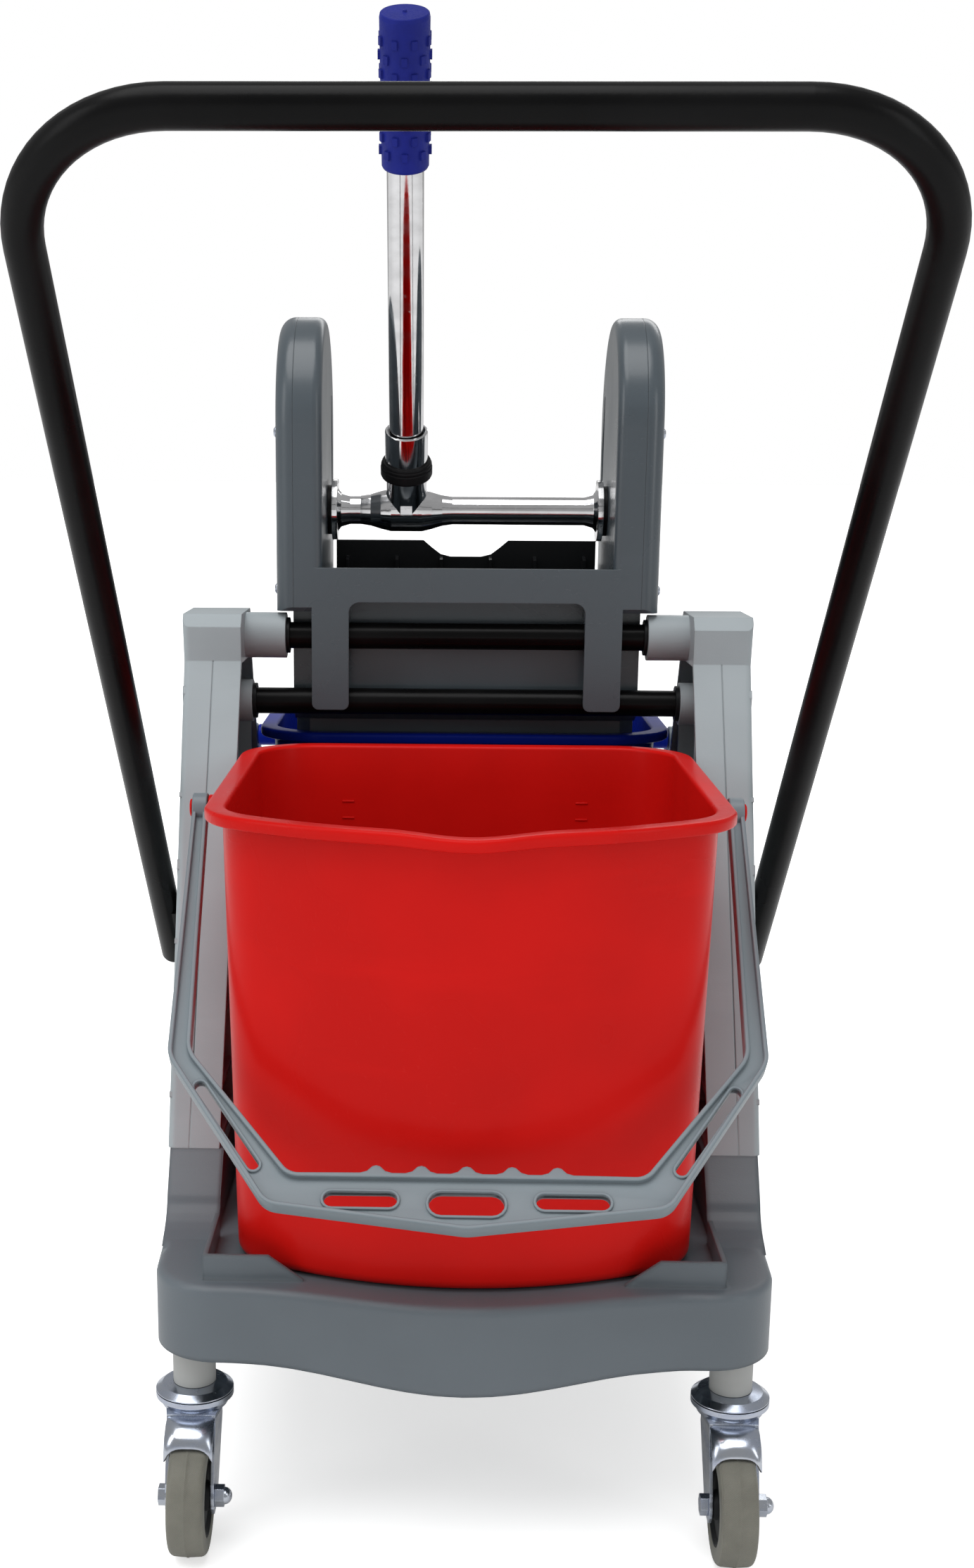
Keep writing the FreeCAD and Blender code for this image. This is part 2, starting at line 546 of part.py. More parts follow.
# ---------------------------------------------------------------- casters
def build_casters():
    for name, sx, sy in (("fl", -1, -1), ("fr", 1, -1), ("rl", -1, 1), ("rr", 1, 1)):
        x, y = sx * CASTER_X, sy * CASTER_Y
        wy = y - TRAIL
        up = V(0, 0, 1)
        # fixed stem and upper race
        stem = cyl(x, y, RACE_Z - 6.0, up, 5.0, 62.0)
        top = revolve([(5.0, 0.6), (14.0, 5.8), (21.0, 4.6), (RACE_R, 1.2), (RACE_R, 0.6)],
                      V(x, y, RACE_Z), up, V(1, 0, 0))
        save(stem.fuse(top).removeSplitter(), "caster_stem_" + name)
        # swivelling fork: lower race, bridge and two legs
        race = revolve([(6.0, -0.2), (RACE_R, -0.2), (RACE_R, -3.6), (22.5, -6.5), (21.5, -9.0), (6.0, -9.0)],
                       V(x, y, RACE_Z), up, V(1, 0, 0))
        parts = [race]
        zt = RACE_Z - 9.0
        leg_in = WHEEL_W / 2.0 + 1.6
        leg_t = 2.2
        bridge = prism_z([(x - leg_in - leg_t, wy + 8.0), (x + leg_in + leg_t, wy + 8.0),
                          (x + 20.0, y + 4.0), (x + 14.0, y + 20.0), (x - 14.0, y + 20.0), (x - 20.0, y + 4.0)],
                         zt - 2.4, zt + 0.2)
        parts.append(bridge)
        for s in (-1, 1):
            a, b = sorted((x + s * leg_in, x + s * (leg_in + leg_t)))
            leg = prism_x([(wy - 9.0, 34.0), (wy - 7.0, 50.0), (wy + 8.0, zt - 0.2), (y + 14.0, zt - 0.2),
                           (y + 17.0, 74.0), (wy + 12.0, 30.0), (wy + 5.0, 28.5), (wy - 5.0, 28.5)], a, b)
            parts.append(leg)
            parts.append(cyl(a, wy, WHEEL_R, V(1, 0, 0), 9.5, b - a))
        fork = fuse(parts)
        fork = fork.cut(cyl(x, y, RACE_Z - 20.0, up, 6.0, 40.0))
        fork = fork.cut(xcyl(x - 40.0, x + 40.0, wy, WHEEL_R, 4.1))
        fork = fork.removeSplitter()
        save(max(fork.Solids, key=lambda q: q.Volume), "caster_fork_" + name)
        # axle bolt and nut, both held by the fork
        out_x = leg_in + leg_t
        axle = xcyl(x - out_x - 0.1, x + out_x + 9.0, wy, WHEEL_R, 4.0)
        head = prism_x([(wy + 7.0 * math.cos(math.radians(a)), WHEEL_R + 7.0 * math.sin(math.radians(a)))
                        for a in range(0, 360, 60)], x - out_x - 5.1, x - out_x - 0.05)
        save(axle.fuse(head).removeSplitter(), "caster_axle_" + name)
        nut = prism_x([(wy + 7.2 * math.cos(math.radians(a)), WHEEL_R + 7.2 * math.sin(math.radians(a)))
                       for a in range(0, 360, 60)], x + out_x + 0.05, x + out_x + 6.0)
        dome = revolve([(0, 0)] + [(5.6 * math.cos(t), 5.0 * math.sin(t)) for t in
                                  [math.pi / 2 * i / 6.0 for i in range(0, 7)]],
                       V(x + out_x + 6.0, wy, WHEEL_R), V(1, 0, 0), V(0, 0, 1))
        nut = nut.fuse(dome).cut(xcyl(x + out_x - 1.0, x + out_x + 9.05, wy, WHEEL_R, 4.05))
        save(nut.removeSplitter(), "caster_nut_" + name)
        # wheel: hub and tyre
        h = WHEEL_W / 2.0
        cx = V(x, wy, WHEEL_R)
        ax = V(1, 0, 0)
        rz = V(0, 0, 1)
        hub = revolve([(4.0 + RUN_FIT, -h - 1.0), (9.0, -h - 1.0), (10.0, -h + 2.0), (22.0, -h + 3.0), (25.0, -h + 0.6),
                       (26.5, -h + 0.6), (26.5, h - 0.6), (25.0, h - 0.6), (22.0, h - 3.0), (10.0, h - 2.0),
                       (9.0, h + 1.0), (4.0 + RUN_FIT, h + 1.0)], cx, ax, rz)
        save(hub, "wheel_hub_" + name)
        tyre = revolve([(26.5, -h), (34.0, -h), (37.4, -h + 1.6), (38.6, -h + 4.5), (WHEEL_R, -2.0), (WHEEL_R, 2.0),
                        (38.6, h - 4.5), (37.4, h - 1.6), (34.0, h), (26.5, h)], cx, ax, rz)
        save(tyre, "tyre_" + name)


# ---------------------------------------------------------------- buckets
def bucket_section(z, inset, place=None):
    """Planform of the outside wall at height z, moved inwards and put at place."""
    t = (z - DECK_Z) / (BUCKET_TOP_Z - DECK_Z)

    def mix(a, b):
        return a + (b - a) * t
    return bucket_wire(mix(BUCKET_BASE_HX, BUCKET_HX), mix(BUCKET_BASE_OUT_Y, BUCKET_OUT_Y),
                       mix(BUCKET_BASE_IN_Y, BUCKET_IN_Y), mix(40.0, 45.0), mix(BUCKET_CURVE_BASE, BUCKET_CURVE_TOP),
                       mix(0.0, BUCKET_LIP), inset, z if place is None else place)


def inner_wall_y(z):
    t = (z - DECK_Z) / (BUCKET_TOP_Z - DECK_Z)
    return BUCKET_BASE_IN_Y + (BUCKET_IN_Y - BUCKET_BASE_IN_Y) * t + BUCKET_T


def dipped(low, high):
    """Slab between two heights whose front part sags at the pouring lip."""
    line = []
    for i in range(17):
        x = -LIP_HALF_W + 2 * LIP_HALF_W * i / 16.0
        line.append((x, LIP_DIP * (0.5 + 0.5 * math.cos(math.pi * x / LIP_HALF_W))))
    top = [(-220.0, high)] + [(x, high - d) for x, d in line] + [(220.0, high)]
    bottom = [(220.0, low)] + [(x, low - d) for x, d in reversed(line)] + [(-220.0, low)]
    return prism_y(top + bottom, -440.0, -200.0).fuse(box(-220.0, 220.0, -200.0, 0.0, low, high))


def bucket_shape():
    z0 = DECK_Z + BUCKET_GAP
    top = BUCKET_TOP_Z
    zc = z0 + BASE_CHAMFER
    zf = z0 + 3.0
    outer = Part.makeLoft([bucket_section(z0, BASE_CHAMFER), bucket_section(z0 + 2.3, 2.3),
                           bucket_section(zc, 0.0)], True, True)
    outer = outer.fuse(Part.makeLoft([bucket_section(zc, 0.0), bucket_section(top, 0.0)], True, True))
    inner = Part.makeLoft([bucket_section(zf, BASE_CHAMFER + 1.8), bucket_section(zf + 2.3, 2.3 + BUCKET_T),
                           bucket_section(zf + BASE_CHAMFER, BUCKET_T)], True, True)
    inner = inner.fuse(Part.makeLoft([bucket_section(zf + BASE_CHAMFER, BUCKET_T),
                                      bucket_section(top + 1.0, BUCKET_T)], True, True))
    plate = slab(bucket_section(top, -RIM_W, top - 3.0 - LIP_DIP), 3.0 + LIP_DIP)
    plate = plate.common(dipped(top - 3.0, top))
    edge = slab(bucket_section(top, -RIM_W, top - RIM_DROP - LIP_DIP), RIM_DROP + LIP_DIP)
    edge = edge.cut(slab(bucket_section(top, -RIM_W + 2.6, top - RIM_DROP - LIP_DIP - 1.0), RIM_DROP + LIP_DIP + 3.0))
    edge = edge.common(dipped(top - RIM_DROP, top))
    wall = outer.common(dipped(0.0, top))
    body = wall.fuse(plate).fuse(edge).cut(inner)
    lugs = []
    for s in (-1, 1):
        a, b = sorted((s * (BUCKET_HX - 3.0), s * (BAIL_X - 0.5)))
        lugs.append(xcyl(a, b, -BAIL_PIVOT_Y, BAIL_PIVOT_Z, 9.0))
        a, b = sorted((s * (BUCKET_HX - 3.0), s * (BAIL_X + BAIL_ARM_W + 0.5)))
        lugs.append(xcyl(a, b, -BAIL_PIVOT_Y, BAIL_PIVOT_Z, BAIL_PIN_R))
        a, b = sorted((s * (BAIL_X + BAIL_ARM_W + 0.4), s * (BAIL_X + BAIL_ARM_W + 2.2)))
        lugs.append(xcyl(a, b, -BAIL_PIVOT_Y, BAIL_PIVOT_Z, 6.0))
    lug = lugs[0].multiFuse(lugs[1:]).cut(inner)
    body = body.multiFuse(lug.Solids)
    # graduation bars inside the wall nearest the middle
    marks = []
    for i in range(6):
        z = 250.0 + 36.0 * i
        yi = inner_wall_y(z)
        w = 26.0 if i % 2 else 40.0
        marks.append(box(-w / 2.0, w / 2.0, -yi - 0.8, -yi + 1.0, z, z + 2.0))
    body = body.multiFuse(marks)
    body = body.removeSplitter()
    return max(body.Solids, key=lambda s: s.Volume)


def bail_outline(edge):
    """Half outline of the bail in its own plane as (x, s), outer or inner side."""
    if edge == "outer":
        return [(BAIL_X + BAIL_ARM_W, -2.0), (BAIL_CORNER_X, BAIL_CORNER_S), (BAIL_LOW_X + 7.0, BAIL_LOW_S + 9.0),
                (0.0, BAIL_END_S)]
    return [(BAIL_X, -2.0), (BAIL_CORNER_X - 13.0, BAIL_CORNER_S - 4.0), (BAIL_LOW_X - 7.0, BAIL_LOW_S - 12.0),
            (0.0, BAIL_LOW_S - 12.0)]


def bail_plate(shrink_out, shrink_in, t0, t1):
    outer = bail_outline("outer")
    inner = bail_outline("inner")
    o = [(x - shrink_out if x > 1.0 else x, s - shrink_out * (1.0 if s > 150 else 0.0)) for x, s in outer]
    i = [(x + shrink_in if x > 1.0 else x, s + shrink_in * (1.0 if s > 150 else 0.0)) for x, s in inner]
    right = o
    left = [(-x, s) for x, s in reversed(o)][1:]
    inner_left = [(-x, s) for x, s in i]
    inner_right = [(x, s) for x, s in reversed(i)][1:]
    loop = right + left + inner_left + inner_right
    wire = Part.makePolygon([V(x, t0, -s) for x, s in loop + loop[:1]])
    return Part.Face(wire).extrude(V(0, t1 - t0, 0))


def obround(x0, x1, s, r):
    slot = box(x0, x1, -30.0, 30.0, -s - r, -s + r)
    slot = slot.fuse(Part.makeCylinder(r, 60.0, V(x0, -30.0, -s), V(0, 1, 0)))
    slot = slot.fuse(Part.makeCylinder(r, 60.0, V(x1, -30.0, -s), V(0, 1, 0)))
    return slot.removeSplitter()


def bail_shape():
    t = BAIL_T / 2.0
    frame = bail_plate(0.0, 0.0, -t, t)
    web = bail_plate(2.4, 2.4, -2.0, 2.0)
    cavity = bail_plate(2.6, 2.6, -t - 1.0, t + 1.0).cut(bail_plate(2.6, 2.6, -2.0, 2.0))
    grip = []
    for i in range(5):
        x = -62.0 + 31.0 * i
        grip.append(Part.makeCylinder(9.0, BAIL_T, V(x, -t, -(BAIL_LOW_S - 5.5)), V(0, 1, 0)))
    body = frame.cut(cavity).multiFuse(grip)
    cuts = [obround(-80.0, -46.0, BAIL_LOW_S + 3.2, 5.0), obround(46.0, 80.0, BAIL_LOW_S + 3.2, 5.0),
            obround(-13.0, 13.0, BAIL_LOW_S + 7.0, 8.5)]
    walls = [obround(-80.0, -46.0, BAIL_LOW_S + 3.2, 7.4), obround(46.0, 80.0, BAIL_LOW_S + 3.2, 7.4),
             obround(-13.0, 13.0, BAIL_LOW_S + 7.0, 10.9)]
    limit = bail_plate(0.0, 0.0, -t, t)
    for w in walls:
        body = body.fuse(w.common(limit))
    for s in (-1, 1):
        x0, s0, x1, s1 = 166.0, BAIL_CORNER_S + 18.0, 130.0, BAIL_LOW_S - 22.0
        ang = math.degrees(math.atan2(s1 - s0, x1 - x0))
        length = math.hypot(x1 - x0, s1 - s0)
        slot = obround(0.0, length, 0.0, 3.4)
        slot.rotate(V(0, 0, 0), V(0, 1, 0), ang)
        slot.translate(V(x0, 0, -s0))
        cuts.append(slot if s > 0 else mirror_x(slot))
    for s in (-1, 1):
        a, b = sorted((s * BAIL_X, s * (BAIL_X + BAIL_ARM_W)))
        body = body.fuse(xcyl(a, b, 0.0, 0.0, 10.0))
    for c in cuts:
        body = body.cut(c)
    body = body.cut(xcyl(-220.0, 220.0, 0.0, 0.0, BAIL_PIN_R + 0.1))
    body = body.removeSplitter()
    return max(body.Solids, key=lambda q: q.Volume)


def build_buckets():
    red = bucket_shape()
    save(red, "red_bucket")
    save(mirror_y(red), "blue_bucket")
    bail = bail_shape()
    bail.rotate(V(0, 0, 0), V(1, 0, 0), -BAIL_ANGLE)
    bail.translate(V(0, -BAIL_PIVOT_Y, BAIL_PIVOT_Z))
    save(bail, "red_bail")
    save(mirror_y(bail), "blue_bail")


# ---------------------------------------------------------------- wringer
def ear_profile(inset):
    """(y, z) outline of an ear as a face in the plane x = 0."""
    y0, y1 = EAR_Y0 + inset, EAR_Y1 - inset
    zb = EAR_BOTTOM_Z + inset
    r = (y1 - y0) / 2.0
    zt = EAR_TOP_Z - inset - r
    ym = (y0 + y1) / 2.0
    c = 3.0
    lines = [Part.makeLine(V(0, y0, zb + c), V(0, y0, zt)),
             Part.Arc(V(0, y0, zt), V(0, ym, zt + r), V(0, y1, zt)).toShape(),
             Part.makeLine(V(0, y1, zt), V(0, y1, zb + c)),
             Part.makeLine(V(0, y1, zb + c), V(0, y1 - c, zb)),
             Part.makeLine(V(0, y1 - c, zb), V(0, y0 + c, zb)),
             Part.makeLine(V(0, y0 + c, zb), V(0, y0, zb + c))]
    return Part.Face(Part.Wire(lines))


def ear_slab(inset, x0, x1):
    face = ear_profile(inset)
    face.translate(V(x0, 0, 0))
    return face.extrude(V(x1 - x0, 0, 0))


def basket_profile(inset):
    """(y, z) outline of the basket below the ears, open at the top."""
    i = inset
    return [(25.0 + i, PANEL_TOP_Z + (1.0 if i else -4.0)), (25.0 + i, 502.0 + i * 0.5), (45.0 + i, 494.0 + i * 0.5),
            (46.0 + i, BASKET_BOTTOM_Z + i), (140.0 - i, BASKET_BOTTOM_Z + i), (150.0 - i, 500.0),
            (154.0 - i, PANEL_TOP_Z + (1.0 if i else -4.0))]


def build_wringer():
    parts = []
    # ears: inner shell, open towards its cover
    ear = ear_slab(0.0, EAR_IN_X, EAR_SEAM_X)
    ear = soften(ear, EAR_IN_ROUND, lambda e: e.BoundBox.XMax < EAR_IN_X + 0.05 and e.BoundBox.ZMax > EAR_BOTTOM_Z + 20.0)
    ear = ear.cut(ear_slab(EAR_WALL, EAR_IN_X + EAR_WALL, EAR_SEAM_X + 1.0))
    tall = prism_x([(128.0, 640.0), (137.0, 634.0), (139.0, 700.0), (128.0, 742.0), (122.0, 742.0)],
                   EAR_IN_X - 1.0, EAR_IN_X + EAR_WALL + 0.01)
    ear = ear.cut(tall)
    ear = ear.cut(xcyl(EAR_IN_X - 1.0, EAR_IN_X + 10.0, SHAFT_Y, SHAFT_Z, SHAFT_R + 4.2))
    # slot in the inner wall for the arms of the press plate
    arm_slot = box(EAR_IN_X - 1.0, EAR_IN_X + EAR_WALL + 0.01, PRESS_Y - PRESS_STROKE - 20.5, PRESS_Y + 0.5,
                   RACK_SLOT_Z0 - 0.6, RACK_SLOT_Z1 + 0.6)
    ear = ear.cut(arm_slot)
    parts += [ear, mirror_x(ear)]
    # basket
    outer = prism_x(basket_profile(0.0), -BASKET_HX, BASKET_HX)
    cavity = prism_x(basket_profile(BASKET_T), -BASKET_HX + BASKET_T, BASKET_HX - BASKET_T)
    # slanted front corners below the rim of the bucket
    for grow, part in ((0.0, outer), (4.2, cavity)):
        leg = 56.0 + grow
        wedge = prism_z([(BASKET_HX + 0.1, 44.0), (BASKET_HX + 0.1, leg), (BASKET_HX + 44.0 - leg, 44.0)],
                        BASKET_BOTTOM_Z - 1.0, 500.0)
        if grow:
            cavity = part.cut(wedge).cut(mirror_x(wedge))
        else:
            outer = part.cut(wedge).cut(mirror_x(wedge))
    side_cut = box(EAR_IN_X - 3.0, BASKET_HX + 1.0, -10.0, 170.0, EAR_BOTTOM_Z - 5.0, PANEL_TOP_Z + 10.0)
    tub = outer.cut(cavity).cut(side_cut).cut(mirror_x(side_cut))
    roof = box(EAR_IN_X - 3.0, BASKET_HX, 25.0, 150.0, EAR_BOTTOM_Z - 5.0, EAR_BOTTOM_Z - 0.1)
    roof = roof.fuse(box(EAR_IN_X - 3.0, EAR_SEAM_X - 0.1, 25.0, 150.0, EAR_BOTTOM_Z - 5.0, EAR_BOTTOM_Z + 0.5))
    tub = tub.fuse(roof).fuse(mirror_x(roof))
    web = box(EAR_IN_X - 3.0, EAR_IN_X + 0.5, 26.0, 153.0, EAR_BOTTOM_Z - 3.0, RACK_SLOT_Z0 - 0.6)
    tub = tub.fuse(web).fuse(mirror_x(web))
    parts.append(tub)
    # front panel, hanging legs and the shelf that sits on the upper tube
    panel_hx = EAR_IN_X + EAR_IN_ROUND + 1.0
    parts.append(box(-panel_hx, panel_hx, EAR_Y0, EAR_Y0 + 4.0, PANEL_LOW_Z, PANEL_TOP_Z))
    parts.append(box(-EAR_IN_X - 1.0, EAR_IN_X + 1.0, EAR_Y0, 28.0, PANEL_LOW_Z, PANEL_LOW_Z + 4.0))
    for s in (-1, 1):
        a, b = sorted((s * (HOOK_X - HOOK_W / 2.0), s * (HOOK_X + HOOK_W / 2.0)))
        leg = box(a, b, EAR_Y0, EAR_Y0 + 4.0, HOOK_BOTTOM_Z, PANEL_LOW_Z + 2.0)
        leg = soften(leg, 5.0, lambda e: abs(e.BoundBox.ZMax - HOOK_BOTTOM_Z) < 0.1 and e.BoundBox.YLength > 3.0)
        parts.append(leg)
        for x in (a, b - 3.0):
            fin_top = PANEL_LOW_Z + 1.0 if abs(x + 1.5) < EAR_IN_X else EAR_BOTTOM_Z + 1.0
            fin = box(x, x + 3.0, EAR_Y0 + 3.0, 26.0, TUBE_UP_Z, fin_top)
            parts.append(fin)
        inner_x = s * (HOOK_X - HOOK_W / 2.0)
        curve = [(inner_x + s * 0.5, PANEL_LOW_Z + 0.5), (inner_x + s * 0.5, PANEL_LOW_Z - PANEL_CURVE)]
        for k in range(7):
            t = math.pi / 2 * k / 6
            curve.append((inner_x - s * PANEL_CURVE * (1.0 - math.cos(t)), PANEL_LOW_Z - PANEL_CURVE * (1.0 - math.sin(t))))
        curve.append((inner_x - s * PANEL_CURVE, PANEL_LOW_Z + 0.5))
        parts.append(prism_y(curve, EAR_Y0, EAR_Y0 + 4.0))
    body = fuse(parts)
    body = body.cut(xcyl(-200.0, 200.0, TUBE_Y, TUBE_UP_Z, TUBE_R + 0.3))
    body = body.cut(box(-200.0, 200.0, TUBE_Y - TUBE_R - 0.3, TUBE_Y + TUBE_R + 0.3, TUBE_UP_Z - 15.0, TUBE_UP_Z))
    # drain holes: rows through the lower front and rear walls and the floor
    holes = []
    for row in range(5):
        z = 420.0 + 26.0 * row
        for col in range(11):
            x = -100.0 + 20.0 * col + (10.0 if row % 2 else 0.0)
            if abs(x) < BASKET_HX - 18.0:
                holes.append(cyl(x, 130.0, z, V(0, 1, 0), 4.0, 30.0))
    for row in range(3):
        for col in range(11):
            x = -100.0 + 20.0 * col
            holes.append(cyl(x, 76.0 + 22.0 * row, BASKET_BOTTOM_Z - 5.0, V(0, 0, 1), 4.0, 12.0))
    body = body.cut(Part.makeCompound(holes))
    body = body.removeSplitter()
    body = max(body.Solids, key=lambda s: s.Volume)
    save(body, "wringer_body")
    # outer covers
    cover = ear_slab(0.0, EAR_SEAM_X + 0.1, EAR_OUT_X)
    cover = soften(cover, EAR_OUT_ROUND, lambda e: e.BoundBox.XMin > EAR_OUT_X - 0.05 and e.BoundBox.ZMax > EAR_BOTTOM_Z + 20.0)
    hollow = ear_slab(EAR_WALL, EAR_SEAM_X - 1.0, EAR_OUT_X - EAR_WALL)
    hollow = soften(hollow, EAR_OUT_ROUND - EAR_WALL,
                    lambda e: e.BoundBox.XMin > EAR_OUT_X - EAR_WALL - 0.05 and e.BoundBox.ZMax > EAR_BOTTOM_Z + 20.0)
    cover = cover.cut(hollow)
    boss = xcyl(EAR_OUT_X - EAR_WALL - 4.0, EAR_OUT_X - 1.0, SHAFT_Y, SHAFT_Z, 15.0)
    cover = cover.fuse(boss).cut(xcyl(100.0, 160.0, SHAFT_Y, SHAFT_Z, 8.0 + 2.0 + 0.05))
    cover = cover.removeSplitter()
    cover = max(cover.Solids, key=lambda s: s.Volume)
    save(cover, "ear_cover_right")
    save(mirror_x(cover), "ear_cover_left")
    # plain bushes for the shaft, caps and cover screws
    bushes = []
    caps = []
    screws = []
    for s in (1, -1):
        inner_bush = xcyl(EAR_IN_X - 0.6, EAR_IN_X + EAR_WALL + 0.9, SHAFT_Y, SHAFT_Z, SHAFT_R + 4.15)
        inner_bush = inner_bush.fuse(xcyl(EAR_IN_X - 3.0, EAR_IN_X - 0.1, SHAFT_Y, SHAFT_Z, 19.0))
        inner_bush = inner_bush.cut(xcyl(90.0, 140.0, SHAFT_Y, SHAFT_Z, SHAFT_R + RUN_FIT)).removeSplitter()
        outer_bush = xcyl(EAR_OUT_X - EAR_WALL - 4.0, EAR_OUT_X - 1.0, SHAFT_Y, SHAFT_Z, 10.0)
        outer_bush = outer_bush.cut(xcyl(100.0, 160.0, SHAFT_Y, SHAFT_Z, 8.0 + RUN_FIT))
        cap = revolve([(0, 3.2)] + [(13.0, 0.4), (13.0, 0.1), (0, 0.1)],
                      V(EAR_OUT_X, SHAFT_Y, SHAFT_Z), V(1, 0, 0), V(0, 0, 1))
        group = [inner_bush, outer_bush]
        bushes += [g if s > 0 else mirror_x(g) for g in group]
        caps.append(cap if s > 0 else mirror_x(cap))
        for y, z in ((14.0, 597.0), (138.0, 597.0), (14.0, 712.0), (138.0, 712.0), (76.0, 780.0)):
            head = revolve([(0, 2.0), (2.5, 1.8), (4.0, 0.6), (4.0, 0.05), (0, 0.05)],
                           V(EAR_OUT_X, y, z), V(1, 0, 0), V(0, 0, 1))
            screws.append(head if s > 0 else mirror_x(head))
    save(Part.makeCompound(bushes), "shaft_bushes")
    save(Part.makeCompound(caps), "pivot_caps")
    save(Part.makeCompound(screws), "cover_screws")


# ---------------------------------------------------------------- press plate, racks, pinions
TEETH_R = PINION_PITCH_R + MODULE
ROOT_R = PINION_PITCH_R - 1.25 * MODULE
TEETH = int(round(2 * PINION_PITCH_R / MODULE))
PITCH = math.pi * MODULE
RACK_PITCH_Z = SHAFT_Z - PINION_PITCH_R
RACK_SLOT_Z0 = 592.0
RACK_SLOT_Z1 = 600.0


def tooth_outline(phase):
    """Trapezoid teeth on a part wheel; phase is the angle of one tooth's middle."""
    step = 2 * math.pi / TEETH
    pts = []
    for i in range(TEETH):
        a = phase + step * i
        for r, w in ((ROOT_R, 0.34), (TEETH_R - 0.8, 0.13), (TEETH_R - 0.8, -0.13), (ROOT_R, -0.34)):
            pts.append((SHAFT_Y + r * math.sin(a - w * step), SHAFT_Z + r * math.cos(a - w * step)))
    return pts


def build_press():
    # plate with stiffening ribs on its front face and a shallow notch in its top edge
    y0 = PRESS_Y - PLATE_T
    hx = EAR_IN_X - 3.6
    low = PLATE_LOW_Z
    top = PLATE_TOP_Z
    nw, nd = NOTCH_HALF_W, NOTCH_DEPTH
    notch = [(nw, top), (nw - 7.0, top - nd * 0.45), (nw - 14.0, top - nd * 0.85), (nw - 22.0, top - nd)]
    pts = [(-hx, low + 110.0), (-hx, top)] + [(-x, z) for x, z in notch] + list(reversed(notch))
    pts += [(hx, top), (hx, low + 110.0), (hx - 12.0, low + 20.0),
            (hx - 12.0, low), (-hx + 12.0, low), (-hx + 12.0, low + 20.0)]
    plate = prism_y(pts, y0, PRESS_Y)
    ribs = []
    for x in (-96.0, -56.0, -20.0, 20.0, 56.0, 96.0):
        ribs.append(prism_x([(y0 + 0.5, low + 6.0), (y0 + 0.5, top - 12.5), (y0 - 9.0, top - 15.0), (y0 - 9.0, low + 16.0)],
                            x - 1.25, x + 1.25).common(box(-hx, hx, -50, 200, low, top)))
    for z in (440.0, 500.0, 560.0):
        ribs.append(box(-hx + 12.0, hx - 12.0, y0 - 7.0, y0 + 0.5, z - 1.25, z + 1.25))
    arms = []
    for s in (1, -1):
        a, b = sorted((s * (hx - 6.0), s * (RACK_X0 + 0.5)))
        arms.append(box(a, b, PRESS_Y - 20.0, PRESS_Y, RACK_SLOT_Z0, RACK_SLOT_Z1))
    holes = []
    for row in range(6):
        for col in range(9):
            x = -76.0 + 19.0 * col
            z = 426.0 + 26.0 * row
            if all(abs(x - r) > 7.0 for r in (-96.0, -56.0, -20.0, 20.0, 56.0, 96.0)):
                if all(abs(z - q) > 6.0 for q in (440.0, 500.0, 560.0)):
                    holes.append(cyl(x, y0 - 20.0, z, V(0, 1, 0), 3.5, 40.0))
    body = fuse([plate] + ribs + arms)
    body = body.cut(Part.makeCompound(holes))
    save(max(body.removeSplitter().Solids, key=lambda q: q.Volume), "press_plate")
    # racks: flat bars with teeth up, carried on the arms inside the ears
    rack_y0 = SHAFT_Y - 12.0
    rack_y1 = EAR_Y1 - EAR_WALL - 3.0
    for s, node in ((1, "rack_right"), (-1, "rack_left")):
        a, b = (RACK_X0 + 0.5, RACK_X1)
        bar = box(a, b, rack_y0, rack_y1, EAR_BOTTOM_Z + EAR_WALL + 0.4, RACK_PITCH_Z - 1.25 * MODULE)
        teeth = []
        n = int((rack_y1 - rack_y0) / PITCH) + 2
        for i in range(-n, n):
            c = SHAFT_Y + PITCH * i
            if c - 5.0 < rack_y0 or c + 5.0 > rack_y1:
                continue
            zr = RACK_PITCH_Z - 1.25 * MODULE - 0.2
            zt = RACK_PITCH_Z + 0.75 * MODULE
            teeth.append(prism_x([(c - 4.6, zr), (c - 1.7, zt), (c + 1.7, zt), (c + 4.6, zr)], a, b))
        rack = fuse([bar] + teeth)
        save(rack if s > 0 else mirror_x(rack), node)
    # pinions: keyed on the shaft ends, a gap of the wheel at the bottom meets a rack tooth
    outline = tooth_outline(math.pi / TEETH * (1 if (TEETH % 2 == 0) else 0))
    wheel = prism_x(outline, RACK_X0 + 1.2, RACK_X1 - 0.6)
    wheel = wheel.fuse(xcyl(RACK_X0 + 1.2, RACK_X1 + 6.0, SHAFT_Y, SHAFT_Z, 18.0))
    for k in range(6):
        a = math.pi / 3 * k
        wheel = wheel.cut(xcyl(100.0, 123.0 + 1.0, SHAFT_Y + 28.0 * math.sin(a), SHAFT_Z + 28.0 * math.cos(a), 7.0))
    key = box(100.0, 140.0, SHAFT_Y - 7.07, SHAFT_Y + 7.07, SHAFT_Z - 7.07, SHAFT_Z + 7.07)
    wheel = wheel.cut(key).removeSplitter()
    save(wheel, "pinion_right")
    save(mirror_x(wheel), "pinion_left")


